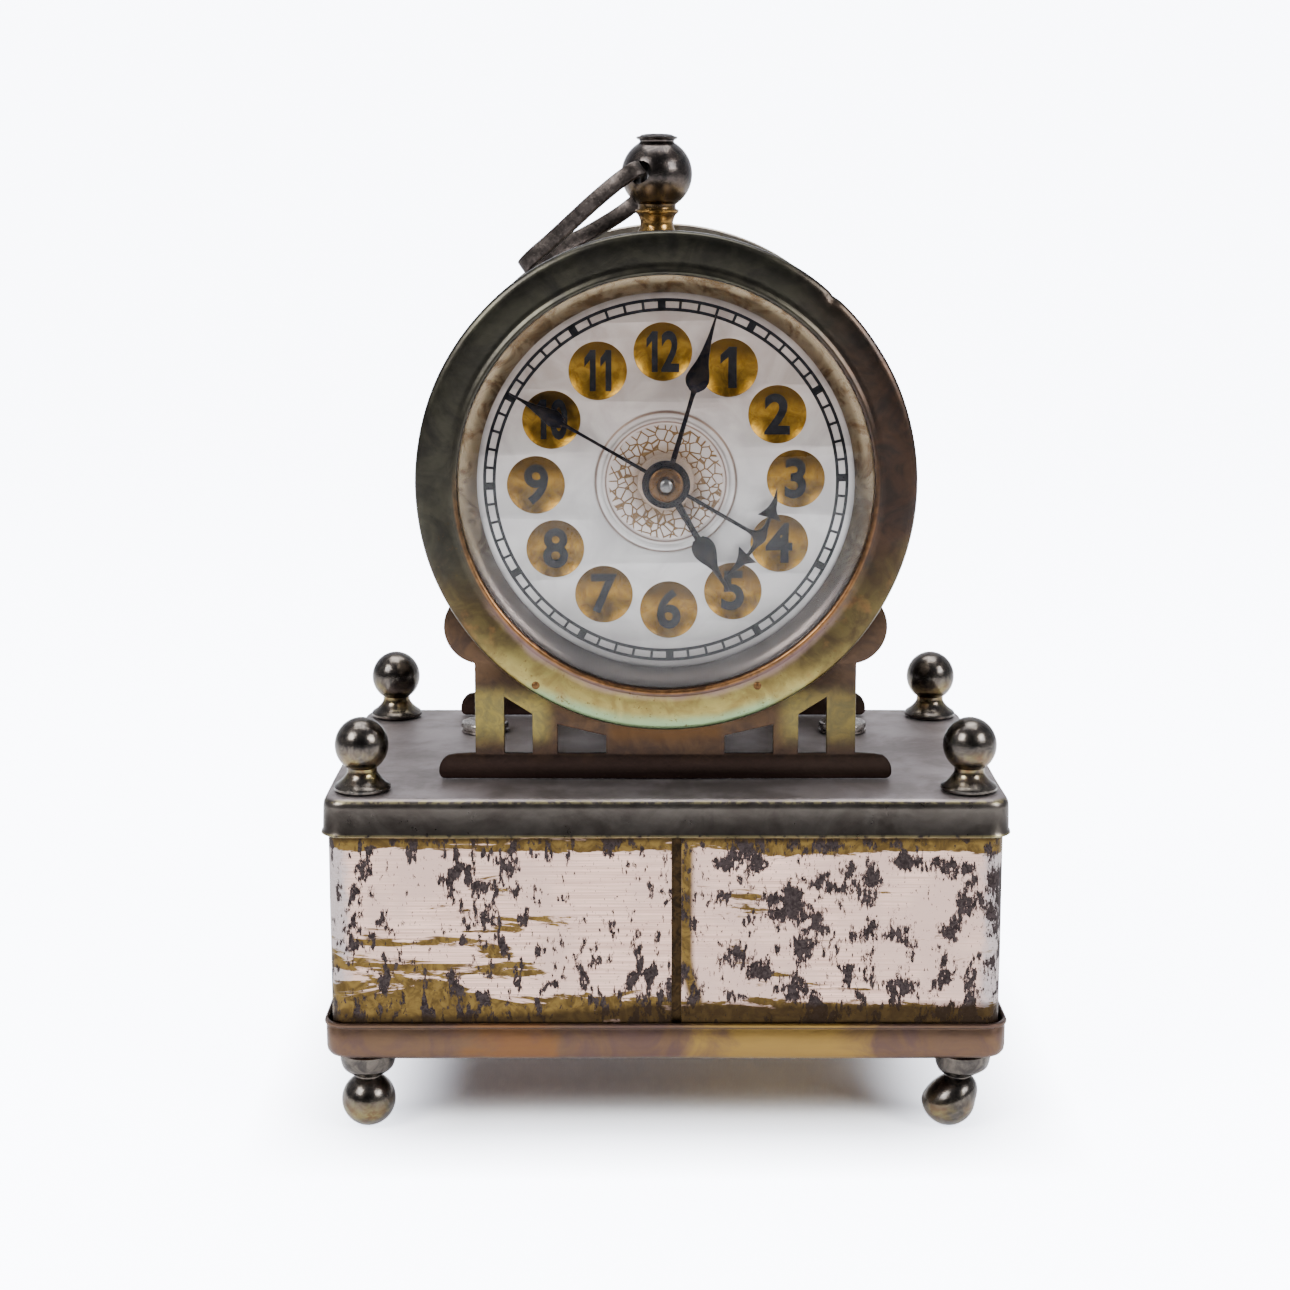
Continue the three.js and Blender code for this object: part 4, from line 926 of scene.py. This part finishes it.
def minute_track():
    """Two printed rings and sixty ticks between them, every fifth one heavy."""
    inner, outer_edge, line = 37.9, 40.0, 0.68
    y = (DIAL_FACE - 0.06, DIAL_FACE + 0.01)
    parts = []
    for radius in (inner, outer_edge):
        section = [(radius - line / 2, y[1]), (radius - line / 2, y[0]), (radius + line / 2, y[0]),
                   (radius + line / 2, y[1]), (radius - line / 2, y[1])]
        parts.append(lathe(section, (0, CLOCK_Z), 180))
    for minute in range(60):
        half = 0.85 if minute % 5 == 0 else 0.29
        angle = minute * TAU / 60 + DIAL_TURN
        out = Vector((math.sin(angle), math.cos(angle)))
        side = Vector((out.y, -out.x))
        corners = [out * r + side * s for r, s in ((inner, -half), (inner, half), (outer_edge, half), (outer_edge, -half))]
        points = [(c.x, depth, CLOCK_Z + c.y) for depth in y for c in corners]
        faces = [[0, 1, 2, 3], [7, 6, 5, 4], *[[k, (k + 1) % 4, 4 + (k + 1) % 4, 4 + k] for k in range(4)]]
        parts.append((points, faces))
    return joined(*parts)


mesh_piece("dial_track", minute_track(), PRINT)

# ----------------------------------------------------------------------- hands


def turned_outline(outline, degrees):
    angle = math.radians(degrees)
    c, s = math.cos(angle), math.sin(angle)
    return [(x * c + z * s, CLOCK_Z - x * s + z * c) for x, z in outline]


def mirrored(stations):
    """A closed outline from half widths [(height, half width)] going outwards."""
    side = smooth([(half, height) for height, half in stations], 5)
    return side + [(-x, z) for x, z in reversed(side)]


def hand(name, outline, degrees, node, body, hub, bore):
    low, high = (c.y / MM - BASE_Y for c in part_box(node))
    blade = plate([turned_outline(outline, degrees)], low, high, bevel=0.1)
    ring = lathe([(bore, low), (hub - 0.15, low), (hub, low + 0.12), (hub, high), (bore, high), (bore, low)],
                 (0, CLOCK_Z), 64)
    mesh_piece(name, joined(blade, ring), BLUED, body, replaces=[node])


MINUTE = mirrored([
    (5.0, 0.62), (12, 0.52), (20.2, 0.5), (21.4, 1.1), (22.4, 2.1), (23.8, 2.6), (25.4, 2.3), (28.5, 1.25), (33, 0.55),
    (38.7, 0.16)])
HOUR = mirrored([
    (4.6, 0.85), (13.2, 0.68), (14.1, 1.3), (15.3, 2.3), (17.0, 2.6), (18.8, 2.1), (21.4, 0.9), (24, 0.5), (27.6, 0.2)])
hand("minute_hand_blade", MINUTE, 16.4, "minute_hand", "minute_work", 5.3, 1.8)
hand("hour_hand_blade", HOUR, 150, "hour_hand", "hour_work", 4.8, 2.7)


def alarm_pointer():
    """A thin pointer with a spade, and an anchor with arrow-headed arms for its tail."""
    point = smooth([(0.42, 4.2), (0.36, 24.5), (0.95, 26), (1.9, 28.2), (1.5, 30.4), (0.55, 34.5), (0.14, 39.7)], 5)
    arm = [(0.42, -4.2), (0.42, -21.0), *smooth([(0.42, -21.0), (0.9, -22.6), (2.4, -23.4), (4.7, -23.3)], 4),
           *smooth([(4.1, -21.0), (6.4, -22.0), (8.6, -22.2), (11.3, -21.7)], 4),
           *smooth([(11.3, -21.7), (9.0, -23.2), (6.9, -24.2), (5.3, -26.2)], 4),
           *smooth([(4.8, -24.1), (2.6, -24.5), (1.2, -25.1), (0.3, -25.4)], 4)]
    return [*reversed(point), *arm, *[(-x, z) for x, z in reversed(arm)], *[(-x, z) for x, z in point]]


hand("alarm_hand_blade", alarm_pointer(), 300, "alarm_hand", "alarm_work", 4.5, 3.7)

collet_low, collet_high = (c.y / MM - BASE_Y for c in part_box("hand_collet"))
mesh_piece("hand_collet_disc", lathe([
    (1.1, collet_high), (1.1, collet_low + 0.5), (1.75, collet_low + 0.42), (1.95, collet_low + 0.05),
    (2.2, collet_low), (3.3, collet_low + 0.1), (3.7, collet_low + 0.35), (3.8, collet_low + 0.7), (3.8, collet_high),
    (1.1, collet_high)], (0, CLOCK_Z), 64), COLLET, "minute_work", ["hand_collet"])
tip, arbor_end = (c.y / MM - BASE_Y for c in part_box("centre_arbor"))
mesh_piece("centre_arbor_pin", lathe([
    (0, tip), (0.5, tip + 0.02), (1.1, tip + 0.14), (1.38, tip + 0.4), (1.4, tip + 0.7), (1.4, tip + 1.15),
    (0.8, tip + 1.2), (0.8, arbor_end - 0.3), (0.5, arbor_end), (0, arbor_end)], (0, CLOCK_Z), 40), PIN,
    "minute_work", ["centre_arbor"])

# --------------------------------------------------------------- crown and bail

CROWN_X, BALL_Z, BALL_RADIUS = middle("crown", 0), 213.7, 8.1
TILT = math.radians(21)
HOLE_PLACE = Vector((CROWN_X - 3.8, 0, BALL_Z - 2.2))
RING_SLIP = -0.6


def crown():
    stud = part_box("crown")[0].z / MM
    profile = [(0, stud), (1.6, stud), (1.6, 200.2), (4.35, 200.2), (4.4, 200.5)]
    profile += smooth([(4.3, 200.8), (3.85, 201.9), (3.8, 203.0), (4.25, 204.3), (4.85, 204.9)], 5)
    profile += [(5.0, 205.1), (5.05, 205.4), (4.9, 205.7), (4.4, 205.9), (4.3, 206.4)]
    profile += arc(0, BALL_Z, BALL_RADIUS, -57, 58, 36)
    profile += [(3.9, 220.95), (4.0, 221.3), (4.6, 221.6), (4.75, 221.85), (4.6, 222.1), (3.9, 222.25), (3.6, 222.5),
                (2.6, 222.7), (1.2, 222.78), (0, 222.78)]
    body = mesh_piece("crown_turning", lathe(profile, (CROWN_X, 0), 96, upright=True), crown_metal(),
                      replaces=["crown"])
    points, faces = lathe([(0, -12), (2.4, -12), (2.4, 12), (0, 12)], segments=40)
    tilt = Matrix.Rotation(-TILT, 4, "X")
    drill = mesh_piece("crown_drill", ([tuple(tilt @ Vector(p) + HOLE_PLACE) for p in points], faces), GUNMETAL)
    cut = body.modifiers.new("hole", "BOOLEAN")
    cut.operation = "DIFFERENCE"
    cut.solver = "EXACT"
    cut.object = drill
    bpy.context.view_layer.update()
    holed = bpy.data.meshes.new_from_object(body.evaluated_get(bpy.context.evaluated_depsgraph_get()))
    body.modifiers.clear()
    body.data = holed
    holed.set_sharp_from_angle(angle=math.radians(32))
    bpy.data.objects.remove(drill)


crown()


def bail():
    """A pear-shaped strip ring through the ball: s runs away from the ball, t from front to back."""
    shape = [(0, 0), (0, 6.2), (0.5, 9.5), (3.4, 10.8), (8, 10.4), (13.5, 8.8), (19, 6.4), (25, 3.8), (30, 2.2),
             (32.6, 0)]
    drop = 0.58
    away = Vector((-math.sqrt(1 - drop ** 2), 0, -drop))
    along = Vector((0, math.cos(TILT), -math.sin(TILT)))
    normal = away.cross(along).normalized()
    full = smooth(shape + [(s, -t) for s, t in reversed(shape[1:-1])], 8, closed=True)
    centres = [HOLE_PLACE + away * s + along * (t + RING_SLIP) for s, t in full]
    thick, wide, round_off = 1.7 / 2, 3.6 / 2, 0.32
    section = [(sx * (thick - inset_x), sy * (wide - inset_y))
               for sx, sy, order in ((1, 1, 1), (-1, 1, -1), (-1, -1, 1), (1, -1, -1))
               for inset_x, inset_y in ((0, round_off), (0.1, 0.1), (round_off, 0))[::order]]
    strip = sweep(centres, [normal] * len(centres), section)
    mesh_piece("bail_ring_strip", strip, ring_steel(), "bail_body", ["bail_ring"], crease=50)


bail()

# ----------------------------------------------------------- back and controls

cover_low, cover_high = (c.y / MM - BASE_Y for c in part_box("back_cover"))


def place_of(node):
    """The axis of a turned node: the middle of its box."""
    return middle(node, 0), middle(node, 2)


TIME_KEY, ALARM_KEY = place_of("time_winding_key"), place_of("alarm_winding_key")
ALARM_SET, STOP = place_of("alarm_set_knob"), (-38, CLOCK_Z + 10)
BELL = (-12, CLOCK_Z + 27)
REGULATOR = (16, CLOCK_Z + 36)


def ring_of(place, radius, count=28):
    return arc(place[0], place[1], radius, 0, 360 - 360 / count, count - 1)


def back_cover():
    holes = [ring_of(TIME_KEY, 1.7), ring_of(ALARM_KEY, 1.7), ring_of((0, CLOCK_Z), 1.4), ring_of(ALARM_SET, 1.4),
             ring_of(STOP, 1.5), ring_of(BELL, 1.8)]
    for k in range(6):
        angle = math.radians(60 * k)
        holes.append(ring_of((BELL[0] + 6.5 * math.cos(angle), BELL[1] + 6.5 * math.sin(angle)), 1.8))
    x, z = REGULATOR
    holes.append([(x - 2.6, z - 4.4), (x + 2, z - 4.4), (x + 2, z + 4.2), (x - 2.6, z + 4.2)])
    disc = plate([ring_of((0, CLOCK_Z), 53.2, 160), *holes], cover_high - 1.2, cover_high - 0.1, bevel=0.15)
    rim = lathe([
        (53.0, cover_high - 1.2), (53.3, cover_high - 1.25), (53.3, cover_low), (55.0, cover_low),
        (55.3, cover_low + 0.3), (55.3, cover_high - 1.1), (55.15, cover_high - 0.5), (54.6, cover_high - 0.05),
        (53.9, cover_high), (53.2, cover_high - 0.1), (53.0, cover_high - 0.3), (53.0, cover_high - 1.2),
    ], (0, CLOCK_Z), 160)
    mesh_piece("back_cover_disc", disc, CASE, replaces=["back_cover"])
    mesh_piece("back_cover_rim", rim, CASE)
    for number, (place, radius) in enumerate(((TIME_KEY, 2.6), (ALARM_KEY, 2.6), (ALARM_SET, 2.3)), 1):
        bush = lathe([(radius - 0.8, cover_high - 0.2), (radius - 0.8, cover_high + 0.25), (radius, cover_high + 0.3),
                      (radius + 0.5, cover_high + 0.1), (radius + 0.5, cover_high - 0.2),
                      (radius - 0.8, cover_high - 0.2)], place, 40)
        mesh_piece(f"back_bush_{number}", bush, BRASS)


back_cover()


def winding_key(node, body):
    x, z = place_of(node)
    low, high = (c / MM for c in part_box(node))
    back = high.y - BASE_Y
    centre_y = back - 4.6
    wing = [(x + 8.2 * math.cos(a), centre_y + 4.6 * math.sin(a) * (0.82 + 0.18 * abs(math.cos(a))))
            for a in (TAU * k / 72 for k in range(72))]
    holes = [ring_of((x + side * 4.6, centre_y), 1.7) for side in (-1, 1)]
    flat = plate([wing, *holes], -0.7, 0.7, bevel=0.3, level=True)
    stem = lathe([
        (0, low.y - BASE_Y), (1.2, low.y - BASE_Y), (1.2, 43.2), (2.1, 43.2), (2.4, 43.5), (2.4, 44.3), (2.15, 44.6),
        (2.4, 44.9), (2.4, 47.8), (2.1, 48.6), (1.5, 49.0), (0, 49.2)], (x, z), 40)
    mesh_piece(f"{node}_wings", joined(moved(flat, z=z), stem), BRASS, body, [node])


winding_key("time_winding_key", "time_key_body")
winding_key("alarm_winding_key", "alarm_key_body")


def knurled_knob(node, radius, body, stem_front, bore):
    x, z = place_of(node)
    front, back = 43.2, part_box(node)[1].y / MM - BASE_Y
    teeth = 28
    edge = [(radius - (0.0 if k % 4 < 2 else 0.28)) for k in range(4 * teeth)]
    outline = [(x + r * math.cos(TAU * k / len(edge)), z + r * math.sin(TAU * k / len(edge))) for k, r in enumerate(edge)]
    disc = plate([outline, ring_of((x, z), bore)], front, back, bevel=0.3)
    parts = [disc]
    if stem_front is not None:
        parts.append(lathe([(0, stem_front), (1.0, stem_front), (1.0, back - 0.4), (0.7, back + 0.0), (0, back)],
                           (x, z), 32))
        parts.append(lathe([(0, stem_front), (3.4, stem_front), (3.4, stem_front + 2.2), (0, stem_front + 2.2)],
                           (x, z), 24))
    mesh_piece(f"{node}_knurled", joined(*parts), BRASS, body, [node])


knurled_knob("hand_set_knob", 5.0, "minute_work", None, 1.05)
knurled_knob("alarm_set_knob", 4.4, "alarm_set_body", -25.2, 1.05)

# The works inside, the strap, the rods and the small levers keep their CAD shapes.
INNER_STEEL = {"pallet_lever", "hairspring", "cannon_pinion", "alarm_hammer", "regulator_lever", "alarm_stop_lever", "bell"}
for node, carried in nodes.items():
    if carried.hide_render:
        continue
    carried.data.materials.clear()
    inner_metal = STEEL if node in INNER_STEEL or node.startswith("tie_rod") else BRASS
    carried.data.materials.append(SEAM_IN_SHADE if node == "seam_strap" else inner_metal)

# ---------------------------------------------------- floor, light and camera


def sweep_floor():
    """A white table that curves up behind the clock."""
    width, near, far, radius, top = 6.0, -4.0, 2.2, 1.0, 4.0
    profile = [(near, 0)] + [(far - radius + radius * math.sin(a), radius - radius * math.cos(a))
                             for a in (math.pi / 2 * k / 16 for k in range(17))] + [(far, top)]
    mesh = bpy.data.meshes.new("white_table")
    points = [(side * width, y, z) for y, z in profile for side in (-1, 1)]
    mesh.from_pydata(points, [], [[2 * k, 2 * k + 1, 2 * k + 3, 2 * k + 2] for k in range(len(profile) - 1)])
    mesh.shade_smooth()
    made = Surface("table_white", metallic=0.0, roughness=0.6)
    made.colour(made.mix(made.noise(0.01, 3), rgb(247, 248, 251), rgb(251, 251, 252)))
    rays = made.node("ShaderNodeLightPath")
    made.shader.inputs["Emission Color"].default_value = (0.90, 0.94, 1.06, 1)
    # Painted shadow: seen by the camera the table glows white, but the glow fades to nothing in a soft patch under the
    # clock.
    shadow_x_painted = made.step(made.math("ABSOLUTE", made.x), 96, 44)
    shadow_y_painted = made.times(made.step(made.y, -72, -30), made.step(made.y, 130, 20))
    glow_with_painted_shadow = made.blend(made.math("POWER", made.times(shadow_x_painted, shadow_y_painted), 0.5), 9.0, 0.0)
    made.link(made.blend(rays.outputs["Is Camera Ray"], 0.22, glow_with_painted_shadow), made.shader.inputs["Emission Strength"])
    mesh.materials.append(made.material)
    table = bpy.data.objects.new("white_table", mesh)
    bpy.context.scene.collection.objects.link(table)


def softbox(name, place, target, size, power, colour=(1, 1, 1)):
    light = bpy.data.lights.new(name, "AREA")
    light.shape = "RECTANGLE"
    light.size, light.size_y = size
    light.energy = power
    light.color = colour
    lamp = bpy.data.objects.new(name, light)
    lamp.location = place
    lamp.rotation_euler = (Vector(target) - Vector(place)).to_track_quat("-Z", "Y").to_euler()
    bpy.context.scene.collection.objects.link(lamp)


def world_light():
    """Dim in front, bright above and behind, as in a white tent with an open front."""
    world = bpy.data.worlds.new("tent")
    bpy.context.scene.world = world
    world.use_nodes = True
    tree = world.node_tree
    coordinates = tree.nodes.new("ShaderNodeTexCoord")
    parts = tree.nodes.new("ShaderNodeSeparateXYZ")
    ramp = tree.nodes.new("ShaderNodeMapRange")
    mix = tree.nodes.new("ShaderNodeMix")
    mix.data_type = "RGBA"
    tree.links.new(coordinates.outputs["Generated"], parts.inputs[0])
    tree.links.new(parts.outputs["Y"], ramp.inputs["Value"])
    ramp.inputs["From Min"].default_value = -0.9
    ramp.inputs["From Max"].default_value = 0.5
    tree.links.new(ramp.outputs[0], mix.inputs[0])
    mix.inputs[6].default_value = (0.10, 0.10, 0.11, 1)
    mix.inputs[7].default_value = (0.9, 0.9, 0.93, 1)
    # The tent itself shows plain white.
    rays = tree.nodes.new("ShaderNodeLightPath")
    seen = tree.nodes.new("ShaderNodeMix")
    seen.data_type = "RGBA"
    tree.links.new(rays.outputs["Is Camera Ray"], seen.inputs[0])
    tree.links.new(mix.outputs[2], seen.inputs[6])
    seen.inputs[7].default_value = (9.3, 9.4, 9.6, 1)
    tree.links.new(seen.outputs[2], tree.nodes["Background"].inputs["Color"])
    tree.nodes["Background"].inputs["Strength"].default_value = 0.9


sweep_floor()
world_light()
CENTRE = (0, 0, 0.12)
softbox("key_left", (-0.85, -0.75, 0.95), CENTRE, (0.55, 0.55), 26)
softbox("fill_right", (0.95, -0.7, 0.75), CENTRE, (0.5, 0.5), 20)
softbox("top", (0.0, 0.15, 1.35), CENTRE, (1.1, 0.8), 26)


def camera():
    """The photograph's own viewing angle: level with the dial's top and tipped a little down."""
    data = bpy.data.cameras.new("camera")
    data.sensor_width = 36
    data.lens = 63.9
    data.shift_y = -0.06
    eye = bpy.data.objects.new("camera", data)
    eye.location = (-4.6 * MM, (-530.5 + BASE_Y) * MM, 211.8 * MM)
    eye.rotation_euler = (math.radians(90 - 9.55), 0, 0)
    bpy.context.scene.collection.objects.link(eye)
    bpy.context.scene.camera = eye


camera()
